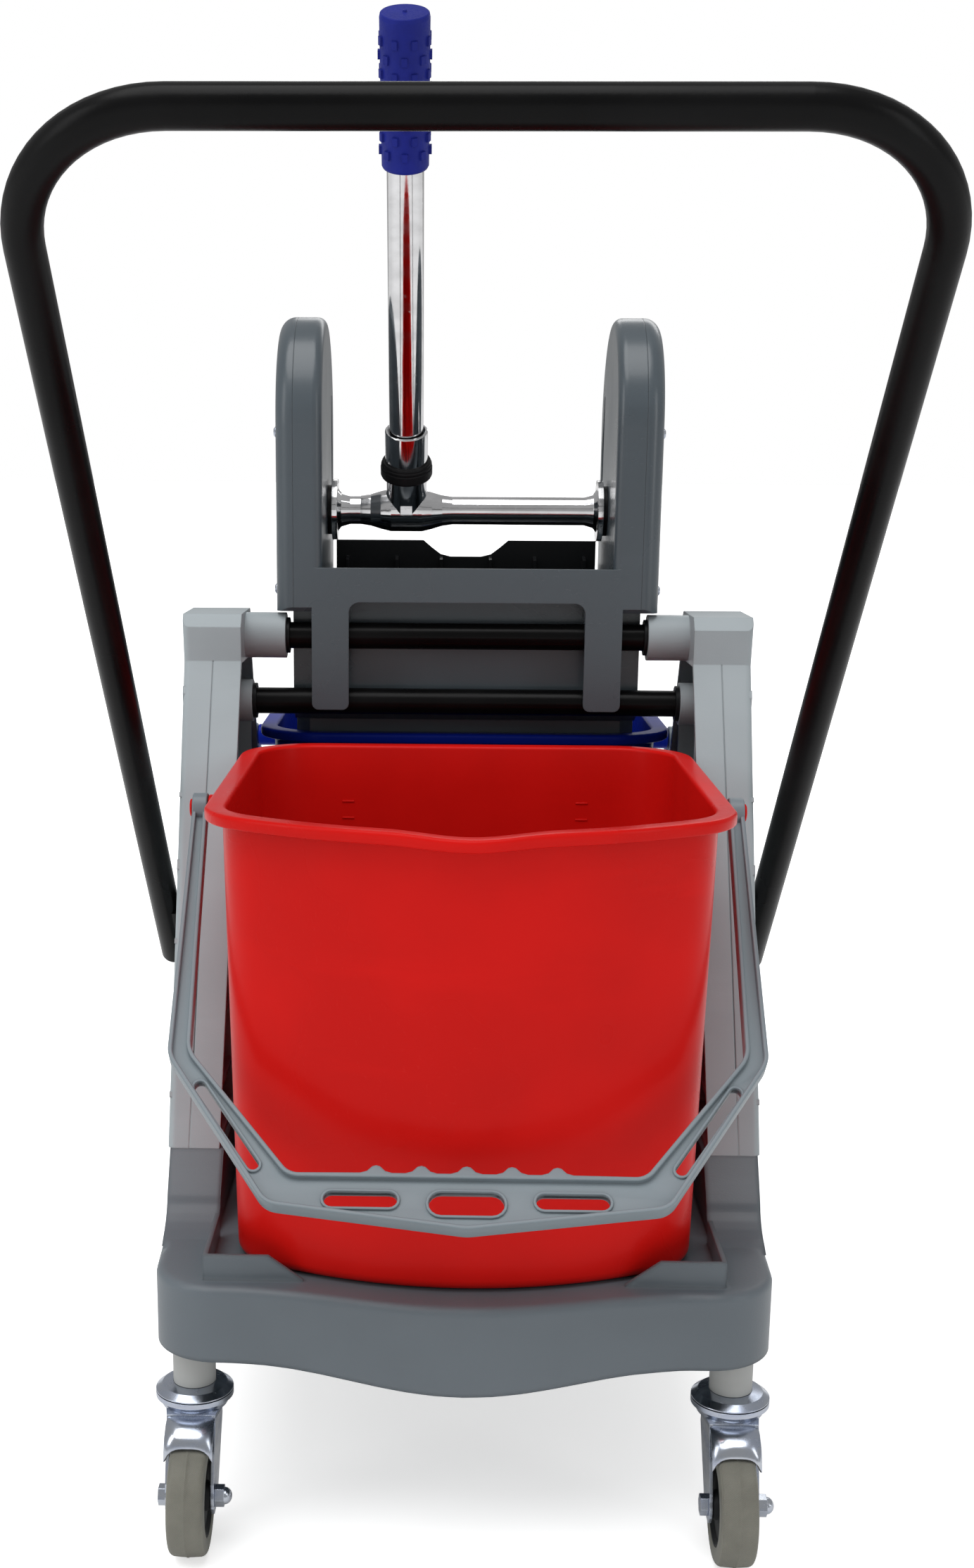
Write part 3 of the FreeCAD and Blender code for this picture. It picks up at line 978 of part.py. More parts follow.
# ---------------------------------------------------------------- lever
def build_lever():
    a = math.radians(LEVER_LEAN)
    d = V(0, -math.sin(a), math.cos(a))
    base = V(LEVER_X, SHAFT_Y, SHAFT_Z)
    side = V(1, 0, 0)
    bar_end = EAR_IN_X - 4.4
    shaft = xcyl(-bar_end, bar_end, SHAFT_Y, SHAFT_Z, SHAFT_R)
    flanges = []
    for s in (1, -1):
        p, q = sorted((s * (bar_end - 3.2), s * (bar_end + 1.0)))
        flanges.append(xcyl(p, q, SHAFT_Y, SHAFT_Z, FLANGE_R))
        neck = revolve([(SHAFT_R - 0.5, 0), (SHAFT_R, 0), (13.0, 7.0), (17.0, 10.2), (SHAFT_R - 0.5, 10.2)],
                       V(s * (bar_end - 13.0), SHAFT_Y, SHAFT_Z), V(s, 0, 0), V(0, 0, 1))
        flanges.append(neck)
        p, q = sorted((s * bar_end, s * (EAR_IN_X + EAR_WALL + 1.0)))
        flanges.append(xcyl(p, q, SHAFT_Y, SHAFT_Z, SHAFT_R))
        p, q = sorted((s * (EAR_IN_X + EAR_WALL), s * (RACK_X1 + 6.2)))
        flanges.append(box(p, q, SHAFT_Y - 7.0, SHAFT_Y + 7.0, SHAFT_Z - 7.0, SHAFT_Z + 7.0))
        p, q = sorted((s * (RACK_X1 + 6.2), s * (EAR_OUT_X - 0.8)))
        flanges.append(xcyl(p, q, SHAFT_Y, SHAFT_Z, 8.0))
    socket = revolve([(0, -8.0), (12.0, -8.0), (16.2, 2.0), (15.8, 12.0), (15.8, RING_S), (COLLAR_R, RING_S + 0.5),
                      (COLLAR_R, COLLAR_END - 0.6), (COLLAR_R - 0.6, COLLAR_END), (0, COLLAR_END)], base, d, side)
    fillet_l = revolve([(SHAFT_R - 1.0, -36.0), (SHAFT_R, -36.0), (12.2, -28.0), (14.6, -20.0), (16.4, -12.0),
                        (16.4, 12.0), (14.6, 20.0), (12.2, 28.0), (SHAFT_R, 36.0), (SHAFT_R - 1.0, 36.0)],
                       base, V(1, 0, 0), V(0, 0, 1))
    yoke = fuse([shaft] + flanges + [socket, fillet_l])
    yoke = yoke.cut(Part.makeCylinder(LEVER_R + 0.1, 130.0, base + d * 26.0, d))
    yoke = yoke.cut(Part.makeCylinder(LEVER_R + 1.5, 20.0, base + d * (COLLAR_END - 6.0), d))
    hole = box(-4.6, 4.6, -24.0, -12.0, -3.4, 3.4)
    hole.translate(base)
    yoke = yoke.cut(hole).removeSplitter()
    yoke = max(yoke.Solids, key=lambda q: q.Volume)
    save(yoke, "lever_yoke")
    tube = Part.makeCylinder(LEVER_R, LEVER_LEN - 10.0 - 27.0, base + d * 27.0, d)
    tube = tube.cut(Part.makeCylinder(LEVER_R - 1.5, LEVER_LEN, base + d * 20.0, d))
    save(tube, "lever_tube")
    rs = RING_S
    ring = revolve([(COLLAR_R + 0.1, rs + 0.6), (19.4, rs + 0.6), (20.0, rs + 2.0), (20.0, rs + 7.5), (19.3, rs + 8.2),
                    (19.6, rs + 9.0), (19.6, rs + 10.2), (18.9, rs + 10.9), (18.9, rs + 12.0), (18.2, rs + 13.0),
                    (COLLAR_R + 0.1, rs + 13.0)], base, d, side)
    save(ring, "lever_ring")
    gs = GRIP_START
    grip = revolve([(0, gs), (15.6, gs), (16.4, gs + 1.5), (GRIP_R, LEVER_LEN - 3.0), (GRIP_R - 0.5, LEVER_LEN - 0.6),
                    (GRIP_R - 1.2, LEVER_LEN), (1.6, LEVER_LEN), (1.2, LEVER_LEN + 1.2), (0, LEVER_LEN + 1.5)],
                   base, d, side)
    grip = grip.cut(Part.makeCylinder(LEVER_R + 0.05, LEVER_LEN - 9.9 - gs + 5.0, base + d * (gs - 5.0), d))
    nubs = []
    across = d.cross(side)
    for row in range(8):
        s0 = gs + 12.0 + 10.4 * row
        for col in range(8):
            ang = 2 * math.pi * (col + (0.5 if row % 2 else 0.0)) / 8
            nub = Part.makeBox(4.2, 5.6, 3.0, V(-2.1, -2.8, GRIP_R - 1.8))
            m = FreeCAD.Matrix()
            rad = side * math.cos(ang) + across * math.sin(ang)
            tan = d.cross(rad)
            m.A11, m.A21, m.A31 = tan.x, tan.y, tan.z
            m.A12, m.A22, m.A32 = d.x, d.y, d.z
            m.A13, m.A23, m.A33 = rad.x, rad.y, rad.z
            c = base + d * s0
            m.A14, m.A24, m.A34 = c.x, c.y, c.z
            nubs.append(nub.transformGeometry(m))
    grip = grip.multiFuse(nubs).removeSplitter()
    save(max(grip.Solids, key=lambda q: q.Volume), "lever_grip")


build_chassis()
build_posts()
build_tubes()
build_handle()
build_casters()
build_buckets()
build_wringer()
build_press()
build_lever()
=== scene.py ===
"""Looks of a two-bucket mop trolley with a side-press wringer."""
import json
import math

import bmesh
import bpy
from mathutils import Matrix, Vector


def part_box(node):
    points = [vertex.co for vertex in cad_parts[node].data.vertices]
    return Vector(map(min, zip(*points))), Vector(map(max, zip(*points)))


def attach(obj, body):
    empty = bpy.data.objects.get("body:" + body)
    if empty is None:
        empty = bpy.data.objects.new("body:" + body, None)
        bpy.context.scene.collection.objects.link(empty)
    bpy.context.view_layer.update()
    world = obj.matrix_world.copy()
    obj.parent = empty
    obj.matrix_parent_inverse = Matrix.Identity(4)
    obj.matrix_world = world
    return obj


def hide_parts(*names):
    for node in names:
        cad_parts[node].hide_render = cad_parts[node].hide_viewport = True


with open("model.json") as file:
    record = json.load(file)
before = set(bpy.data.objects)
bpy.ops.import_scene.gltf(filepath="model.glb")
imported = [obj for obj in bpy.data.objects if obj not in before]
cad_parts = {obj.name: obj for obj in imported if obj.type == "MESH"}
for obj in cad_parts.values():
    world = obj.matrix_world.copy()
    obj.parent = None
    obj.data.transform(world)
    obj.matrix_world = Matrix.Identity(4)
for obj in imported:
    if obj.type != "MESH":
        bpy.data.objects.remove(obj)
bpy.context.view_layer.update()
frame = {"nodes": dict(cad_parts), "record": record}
nodes = frame["nodes"]
scene = bpy.context.scene
MM = 0.001

# ------------------------------------------------------------------ places taken from the frame
tray_low, tray_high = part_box("chassis_base")
MIDDLE_Y = (tray_low.y + tray_high.y) / 2.0 / MM     # the tray's middle, in mm
WHEELS = ("fl", "fr", "rl", "rr")

# ------------------------------------------------------------------ floor, light and camera
FLOOR_HALF = 60.0              # metres
SKY_LIGHT = 0.42
FLOOR_LIFT = 0.58              # keeps the floor pale for the camera without lighting the object
SUN_LIGHT = 1.85
SUN_SPREAD = 50.0              # degrees
SUN_PLACE = (-0.5, -0.9, 3.2)
LIGHT_TARGET = (0.0, 0.0, 0.45)
SOFT_BOXES = (                 # name, place and size in metres, power in watts
    ("left_window", (-2.4, -1.5, 1.7), (0.9, 1.9), 14.0),
    ("right_fill", (2.4, -1.7, 1.4), (0.7, 1.7), 8.0),
    ("rear_strip", (0.5, 2.4, 1.9), (1.8, 0.6), 7.0))
CAMERA_PLACE = (-17.8, -1462.5, 691.9)      # mm from the middle of the tray
CAMERA_PITCH = 14.0
CAMERA_YAW = -1.46
CAMERA_ROLL = 0.3
CAMERA_LENS = 70.83
CAMERA_SENSOR = 36.0
CAMERA_SHIFT = (0.0974, 0.1582)

# ------------------------------------------------------------------ sizes of the bucket, mm
BASE_Z = 186.3
TOP_Z = 485.0
BASE = {"half": 148.0, "front": 351.0, "rear": 45.0, "corner": 40.0, "curve": 0.0020, "lip": 0.0}
TOP = {"half": 153.0, "front": 377.0, "rear": 37.0, "corner": 45.0, "curve": 0.0025, "lip": 5.0}
WALL = 2.6
RIM_OUT = 11.0
RIM_DROP = 8.0
LIP_DIP = 2.6
LIP_HALF = 52.0

# ------------------------------------------------------------------ fill marks and caster bridge, mm
MARK_LOW_Z = 268.0
MARK_PITCH = 12.5
MARK_COUNT = 15
MARK_X = 92.0
MARK_SHORT = 9.0
MARK_LONG = 17.0
MARK_THICK = 1.3
MARK_RISE = 1.0
HOOD_SIDE = 3.4
HOOD_ARCH = 9.0
HOOD_SHEET = 2.0
HOOD_PATH = ((13.0, 90.4), (2.0, 89.6), (-5.0, 87.4), (-9.6, 83.4), (-11.6, 78.0))   # from the axle, and height

# ------------------------------------------------------------------ sizes of the bail, mm
PIVOT_Y = 180.0
PIVOT_Z = 462.0
BAIL_LEAN = 48.0
BAIL_THICK = 12.0
BAIL_IN = 176.0
BAIL_OUT = 186.0
ELBOW_DEPTH = 198.0            # below the pivots, where the arms turn inwards
ELBOW_ROUND = 22.0
ELBOW_IN = (172.0, 194.0)
KNEE = (120.0, 299.0)          # where the arms meet the hand grip
KNEE_ROUND = 16.0
KNEE_IN = (106.0, 278.0)
KNEE_IN_ROUND = 12.0
TIP_DEPTH = 314.0
TIP_ROUND = 30.0
WEB_THICK = 4.0
WEB_INSET = 0.6
FLANGE_W = 2.8
COLLAR_W = 1.8
COLLAR_THICK = 7.0
GRIP_SLOTS = (                 # two ends across, two ends along, radius
    (-80.0, -46.0, -294.0, -294.0, 5.0), (46.0, 80.0, -294.0, -294.0, 5.0),
    (-15.0, 15.0, -296.0, -296.0, 7.6),
    (164.0, 128.0, -219.0, -272.0, 3.6), (-164.0, -128.0, -219.0, -272.0, 3.6))
FINGER_PITCH = 27.0
FINGER_PEAK = 5.4
EYE_R = 10.0
EYE_BORE = 4.1
EYE_HALF_W = 5.0

# ------------------------------------------------------------------ sizes of the tyre, mm
TYRE_SEAT_R = 26.5
TREAD_FROM_R = 37.2
TYRE_STEPS = 96


# ------------------------------------------------------------------ shader helpers
SCUFF_DULL = 0.08              # how much rougher a scuff is


class Finish:
    """One procedural material, with short names for the nodes it is made of."""

    def __init__(self, name):
        self.mat = bpy.data.materials.new(name)
        self.mat.use_nodes = True
        self.tree = self.mat.node_tree
        self.shader = self.tree.nodes["Principled BSDF"]
        self.coords = self.tree.nodes.new("ShaderNodeTexCoord")

    def add(self, kind, **settings):
        node = self.tree.nodes.new(kind)
        for key, value in settings.items():
            setattr(node, key, value)
        return node

    def link(self, a, b):
        self.tree.links.new(a, b)

    def place(self, source="Object", scale=(1, 1, 1), turn=(0, 0, 0)):
        node = self.add("ShaderNodeMapping")
        node.inputs["Scale"].default_value = scale
        node.inputs["Rotation"].default_value = turn
        self.link(self.coords.outputs[source], node.inputs["Vector"])
        return node.outputs["Vector"]

    def noise(self, scale, detail=4.0, rough=0.55, stretch=(1, 1, 1), turn=(0, 0, 0)):
        node = self.add("ShaderNodeTexNoise")
        node.inputs["Scale"].default_value = scale
        node.inputs["Detail"].default_value = detail
        node.inputs["Roughness"].default_value = rough
        self.link(self.place(scale=stretch, turn=turn), node.inputs["Vector"])
        return node.outputs["Fac"]

    def ramp(self, source, low, high, out_low=0.0, out_high=1.0):
        node = self.add("ShaderNodeMapRange", interpolation_type="SMOOTHSTEP")
        node.inputs["From Min"].default_value = low
        node.inputs["From Max"].default_value = high
        node.inputs["To Min"].default_value = out_low
        node.inputs["To Max"].default_value = out_high
        self.link(source, node.inputs["Value"])
        return node.outputs["Result"]

    def math(self, how, a, b):
        node = self.add("ShaderNodeMath", operation=how)
        for socket, value in ((node.inputs[0], a), (node.inputs[1], b)):
            if isinstance(value, (int, float)):
                socket.default_value = value
            else:
                self.link(value, socket)
        return node.outputs[0]

    def blend(self, factor, a, b):
        """Mix of two colours, each a tuple or a socket."""
        node = self.add("ShaderNodeMix", data_type="RGBA")
        self.link(factor, node.inputs[0])
        for socket, value in ((node.inputs[6], a), (node.inputs[7], b)):
            if isinstance(value, tuple):
                socket.default_value = (*value, 1.0)
            else:
                self.link(value, socket)
        return node.outputs[2]

    def edges(self, radius):
        """1 on sharp edges and 0 on flat faces, from how far rounded normals turn."""
        bevel = self.add("ShaderNodeBevel", samples=4)
        bevel.inputs["Radius"].default_value = radius
        geometry = self.add("ShaderNodeNewGeometry")
        dot = self.add("ShaderNodeVectorMath", operation="DOT_PRODUCT")
        self.link(bevel.outputs["Normal"], dot.inputs[0])
        self.link(geometry.outputs["Normal"], dot.inputs[1])
        return self.ramp(dot.outputs["Value"], 0.99, 0.86)

    def surface(self, height, distance, strength=1.0, round_edges=0.0):
        bump = self.add("ShaderNodeBump")
        bump.inputs["Strength"].default_value = strength
        bump.inputs["Distance"].default_value = distance
        self.link(height, bump.inputs["Height"])
        if round_edges:
            bevel = self.add("ShaderNodeBevel", samples=4)
            bevel.inputs["Radius"].default_value = round_edges
            self.link(bevel.outputs["Normal"], bump.inputs["Normal"])
        self.link(bump.outputs["Normal"], self.shader.inputs["Normal"])

    def colour(self, socket):
        self.link(socket, self.shader.inputs["Base Color"])

    def roughness(self, socket):
        self.link(socket, self.shader.inputs["Roughness"])


def shade(colour, factor):
    return tuple(min(1.0, c * factor) for c in colour)


def moulded(name, colour, rough, grain=0.00005, edge=0.0008, coat=0.0, shine=0.16):
    """Moulded plastic: fine grain, faint flow marks, scuffs and slightly paler edges that are partly wear and
    partly a painted highlight.
    """
    f = Finish(name)
    cloud = f.noise(7.0, 3.0)
    flow = f.noise(3.0, 5.0, 0.6, stretch=(1.0, 1.0, 9.0))
    speck = f.noise(900.0, 2.0)
    scratch = f.noise(60.0, 6.0, 0.7, stretch=(1.0, 22.0, 3.0), turn=(0.3, 0.5, 0.4))
    base = f.blend(f.ramp(cloud, 0.3, 0.7), shade(colour, 0.93), shade(colour, 1.06))
    base = f.blend(f.ramp(flow, 0.52, 0.75, 0.0, 0.35), base, shade(colour, 1.16))
    # paler edges: partly edge wear, partly a painted highlight that widens with the edge radius
    worn_and_lit_edge = tuple(0.85 * c + 0.03 for c in colour)
    base = f.blend(f.math("MULTIPLY", f.edges(edge), 0.35), base, worn_and_lit_edge)
    f.colour(base)
    marks = f.ramp(scratch, 0.60, 0.72, 0.0, SCUFF_DULL)
    uneven = f.ramp(cloud, 0.3, 0.7, rough - 0.05, rough + 0.06)
    f.roughness(f.math("ADD", uneven, marks))
    lumps = f.math("ADD", f.math("MULTIPLY", speck, 1.0), f.math("MULTIPLY", flow, 1.5))
    f.surface(lumps, grain, 1.0, edge)
    f.shader.inputs["Specular IOR Level"].default_value = shine
    f.shader.inputs["Coat Weight"].default_value = coat
    f.shader.inputs["Coat Roughness"].default_value = 0.12
    return f.mat


def plated(name, colour, rough, brushed=0.0, tint=None):
    """Chrome or zinc plate: bright metal with faint mottling, smears and dull specks."""
    f = Finish(name)
    f.shader.inputs["Metallic"].default_value = 1.0
    smear = f.noise(25.0, 5.0, 0.6, stretch=(1.0, 1.0, 3.0))
    speck = f.noise(260.0, 3.0)
    second = tint or shade(colour, 0.82)
    f.colour(f.blend(f.ramp(smear, 0.35, 0.7), colour, second))
    dull = f.ramp(speck, 0.62, 0.78, 0.0, 0.20)
    f.roughness(f.math("ADD", f.ramp(smear, 0.3, 0.7, rough * 0.6, rough * 1.5), dull))
    lines = f.noise(500.0, 2.0, stretch=(0.05, 1.0, 1.0))
    f.surface(f.math("ADD", speck, f.math("MULTIPLY", lines, brushed)), 0.00002, 0.6, 0.0006)
    return f.mat


def coated(name, colour, rough):
    """Black powder coat over steel tube, with a fine orange peel and a few rubbed spots."""
    f = Finish(name)
    peel = f.noise(420.0, 2.0, 0.5)
    cloud = f.noise(9.0, 4.0)
    rub = f.ramp(f.noise(34.0, 6.0, 0.7, stretch=(0.3, 1.0, 1.0)), 0.68, 0.76)
    base = f.blend(f.ramp(cloud, 0.3, 0.7), shade(colour, 0.8), shade(colour, 1.5))
    f.colour(f.blend(f.math("MULTIPLY", rub, 0.25), base, (0.03, 0.03, 0.03)))
    f.roughness(f.math("ADD", f.ramp(cloud, 0.3, 0.7, rough - 0.05, rough + 0.06),
                       f.math("MULTIPLY", rub, 0.15)))
    f.surface(peel, 0.00005, 0.8, 0.0006)
    f.shader.inputs["Specular IOR Level"].default_value = 0.10
    return f.mat


def rubbery(name, colour, rough, dust=0.3):
    """Rubber with a fine matt grain and a little dust."""
    f = Finish(name)
    grain = f.noise(700.0, 3.0)
    cloud = f.noise(22.0, 5.0, 0.65)
    base = f.blend(f.ramp(cloud, 0.3, 0.7), shade(colour, 0.82), shade(colour, 1.1))
    pale = tuple(0.7 * c + 0.12 for c in colour)
    f.colour(f.blend(f.ramp(cloud, 0.56, 0.8, 0.0, dust), base, pale))
    f.roughness(f.ramp(grain, 0.3, 0.7, rough - 0.08, rough + 0.08))
    f.surface(grain, 0.00010, 0.7, 0.0006)
    f.shader.inputs["Specular IOR Level"].default_value = 0.15
    return f.mat


def tread(name, colour):
    """Grey tyre: a fine diamond pattern on the tread, read from the tyre's own UV map."""
    f = Finish(name)
    heights = []
    for turn in (0.62, -0.62):
        wave = f.add("ShaderNodeTexWave", wave_type="BANDS", bands_direction="X", wave_profile="TRI")
        wave.inputs["Scale"].default_value = 0.32
        f.link(f.place("UV", turn=(0.0, 0.0, turn)), wave.inputs["Vector"])
        heights.append(f.ramp(wave.outputs["Fac"], 0.55, 0.95))
    hatch = f.math("MAXIMUM", heights[0], heights[1])
    attribute = f.add("ShaderNodeAttribute", attribute_name="tread")
    hatch = f.math("MULTIPLY", hatch, attribute.outputs["Fac"])
    cloud = f.noise(30.0, 5.0, 0.65)
    base = f.blend(f.ramp(cloud, 0.3, 0.75), shade(colour, 0.80), shade(colour, 1.12))
    f.colour(f.blend(f.math("MULTIPLY", hatch, 0.35), base, shade(colour, 1.3)))
    f.roughness(f.ramp(cloud, 0.3, 0.7, 0.42, 0.60))
    f.surface(f.math("ADD", hatch, f.math("MULTIPLY", f.noise(500.0), 0.15)), 0.0004, 0.8)
    return f.mat


MATERIALS = {
    # tray: the 5 mm edge radius rounds the shading of its edges and paints a wide paler band on them, partly a
    # painted highlight
    "chassis": moulded("tray_grey_plastic", (0.118, 0.140, 0.158), 0.36, grain=0.00008, edge=0.0050,
                       coat=0.04, shine=0.35),
    "post": moulded("frame_grey_plastic", (0.345, 0.385, 0.405), 0.40, grain=0.00006, edge=0.0012, coat=0.03),
    "bail": moulded("bail_grey_plastic", (0.190, 0.228, 0.252), 0.36, edge=0.0006, coat=0.04, shine=0.30),
    "socket": moulded("bushing_pale_plastic", (0.42, 0.43, 0.42), 0.48, edge=0.0006),
    "red": moulded("bucket_red_plastic", (0.620, 0.008, 0.006), 0.30, coat=0.03, shine=0.07),
    "blue": moulded("bucket_blue_plastic", (0.004, 0.018, 0.290), 0.30, coat=0.03, shine=0.10),
    "wringer": moulded("wringer_slate_plastic", (0.068, 0.086, 0.100), 0.30, edge=0.0010, coat=0.10,
                       shine=0.45),
    "press_black": moulded("press_black_plastic", (0.006, 0.007, 0.008), 0.40, grain=0.00006),
    "nylon": moulded("bush_black_nylon", (0.008, 0.009, 0.010), 0.45, edge=0.0005),
    "hub": moulded("hub_black_plastic", (0.010, 0.011, 0.012), 0.52, grain=0.00008, edge=0.0006),
    "black_steel": coated("tube_black_coat", (0.0035, 0.0035, 0.0037), 0.30),
    "chrome": plated("lever_chrome", (0.72, 0.72, 0.73), 0.09),
    "zinc": plated("caster_zinc", (0.52, 0.55, 0.60), 0.20, brushed=0.6, tint=(0.42, 0.47, 0.58)),
    "rubber": rubbery("lever_ring_rubber", (0.008, 0.008, 0.009), 0.55, dust=0.04),
    "grip": rubbery("hand_grip_blue", (0.010, 0.018, 0.230), 0.48, dust=0.02),
    "tyre": tread("tyre_grey_rubber", (0.200, 0.198, 0.165)),
}


# ------------------------------------------------------------------ mesh helpers
def new_object(name, bm, smooth_angle=34.0):
    mesh = bpy.data.meshes.new(name)
    bm.to_mesh(mesh)
    bm.free()
    obj = bpy.data.objects.new(name, mesh)
    scene.collection.objects.link(obj)
    mesh.polygons.foreach_set("use_smooth", [True] * len(mesh.polygons))
    mesh.set_sharp_from_angle(angle=math.radians(smooth_angle))
    return obj


def settle(obj, body, slot, *replaced):
    """Gives a finished piece its material and its body, and hides the CAD nodes it replaces."""
    obj.data.materials.clear()
    obj.data.materials.append(MATERIALS[slot])
    obj.data.polygons.foreach_set("material_index", [0] * len(obj.data.polygons))
    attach(obj, body)
    if replaced:
        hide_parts(*replaced)
    return obj


def stack(bm, rings):
    """Quads between neighbouring closed rings of equal length, each a list of mm points."""
    made = [[bm.verts.new(Vector(p) * MM) for p in ring] for ring in rings]
    for low, high in zip(made, made[1:]):
        n = len(low)
        for i in range(n):
            j = (i + 1) % n
            bm.faces.new((low[i], low[j], high[j], high[i]))
    return made


def lathe(bm, profile, base, axis, side, steps=40, cap=True):
    """Turns (radius, along) pairs about an axis, in mm."""
    axis = Vector(axis).normalized()
    side = Vector(side).normalized()
    other = axis.cross(side)
    base = Vector(base)
    rings = []
    for radius, along in profile:
        ring = []
        for i in range(steps):
            a = 2 * math.pi * i / steps
            ring.append(base + axis * along + (side * math.cos(a) + other * math.sin(a)) * radius)
        rings.append(ring)
    made = stack(bm, rings)
    if cap:
        bm.faces.new(list(reversed(made[0])))
        bm.faces.new(made[-1])
    return made


def outline_plate(name, loops, thick, bevel, place):
    """Flat plate with holes: closed loops of mm points in a plane, with rounded edges."""
    curve = bpy.data.curves.new(name, "CURVE")
    curve.dimensions = "2D"
    curve.fill_mode = "BOTH"
    curve.extrude = (thick / 2.0 - bevel) * MM
    curve.bevel_depth = bevel * MM
    curve.bevel_resolution = 2
    curve.offset = -bevel * MM
    for loop in loops:
        spline = curve.splines.new("POLY")
        spline.points.add(len(loop) - 1)
        for point, (u, v) in zip(spline.points, loop):
            point.co = (u * MM, v * MM, 0.0, 1.0)
        spline.use_cyclic_u = True
    obj = bpy.data.objects.new(name, curve)
    scene.collection.objects.link(obj)
    bpy.context.view_layer.update()
    graph = bpy.context.evaluated_depsgraph_get()
    mesh = bpy.data.meshes.new_from_object(obj.evaluated_get(graph))
    bpy.data.objects.remove(obj)
    mesh.transform(place)
    return mesh


def rounded(points, radii, steps):
    """Closed polygon with each corner turned into an arc of its own radius."""
    out = []
    n = len(points)
    for i in range(n):
        p = Vector((*points[i], 0))
        a = (Vector((*points[i - 1], 0)) - p)
        b = (Vector((*points[(i + 1) % n], 0)) - p)
        la, lb = a.length, b.length
        a.normalize()
        b.normalize()
        half = a.angle(b) / 2.0
        r = radii[i]
        cut = min(r / math.tan(half), la * 0.48, lb * 0.48)
        if cut < 0.05 or half > 1.55 or r < 0.05:
            out.append((p.x, p.y))
            continue
        r = cut * math.tan(half)
        centre = p + (a + b).normalized() * (r / math.sin(half))
        start = p + a * cut - centre
        end = p + b * cut - centre
        turn = start.angle(end)
        way = 1.0 if start.cross(end).z > 0 else -1.0
        for k in range(steps + 1):
            spin = Matrix.Rotation(way * turn * k / steps, 3, "Z")
            q = centre + spin @ start
            out.append((q.x, q.y))
    return out


def joined(name, meshes, smooth_angle=34.0):
    bm = bmesh.new()
    for mesh in meshes:
        bm.from_mesh(mesh)
    bmesh.ops.remove_doubles(bm, verts=bm.verts, dist=0.000004)
    return new_object(name, bm, smooth_angle)


# ------------------------------------------------------------------ buckets
def planform(t, inset, side):
    """Points round the bucket at height share t, moved inwards; side -1 is the front bucket."""
    def mix(key):
        return BASE[key] + (TOP[key] - BASE[key]) * t
    half, corner, curve = mix("half"), mix("corner"), mix("curve")
    cx = half - corner
    turn = 0.5
    for _ in range(30):
        turn = math.atan(2.0 * curve * (cx + corner * math.sin(turn)))
    w = cx + corner * math.sin(turn)
    cy = -mix("front") + curve * w * w + corner * math.cos(turn)
    r = corner - inset
    w = cx + r * math.sin(turn)
    y_end = cy - r * math.cos(turn)
    front = -mix("front") + inset
    points = []
    for i in range(41):
        x = -w + 2 * w * i / 40
        share = 1.0 - (x / w) ** 2
        bump = mix("lip") * share * math.exp(-(x / 33.0) ** 2)
        points.append((x, y_end + (front - y_end) * share - bump))
    half -= inset
    rear = -mix("rear") - inset

    def arc(px, py, start, end, steps=12):
        for k in range(1, steps):
            a = start + (end - start) * k / steps
            points.append((px + r * math.cos(a), py + r * math.sin(a)))
    quarter = math.pi / 2
    arc(cx, cy, -quarter + turn, 0.0)
    for k in range(9):
        points.append((half, cy + (rear - r - cy) * k / 8))
    arc(cx, rear - r, 0.0, quarter)
    for k in range(9):
        points.append((cx - 2 * cx * k / 8, rear))
    arc(-cx, rear - r, quarter, 2 * quarter)
    for k in range(9):
        points.append((-half, rear - r + (cy - rear + r) * k / 8))
    arc(-cx, cy, 2 * quarter, 3 * quarter - turn)
    if side > 0:
        points = [(-x, -y) for x, y in points]
    return points


def bucket_ring(z, inset, side):
    t = (z - BASE_Z) / (TOP_Z - BASE_Z)
    high = min(1.0, max(0.0, (z - TOP_Z + 45.0) / 40.0))
    ring = []
    for x, y in planform(t, inset, side):
        sag = 0.0
        if abs(x) < LIP_HALF and abs(y) > 200.0:
            sag = LIP_DIP * (0.5 + 0.5 * math.cos(math.pi * x / LIP_HALF)) * high
        ring.append((x, y + MIDDLE_Y, z - sag))
    return ring


def round_profile(z, inset, radius, start, end, steps=4):
    """Arc in the wall's cross-section as (z, inset) pairs; angle 0 points outwards."""
    out = []
    for k in range(steps + 1):
        a = math.radians(start + (end - start) * k / steps)
        out.append((z + radius * math.sin(a), inset - radius * math.cos(a)))
    return out


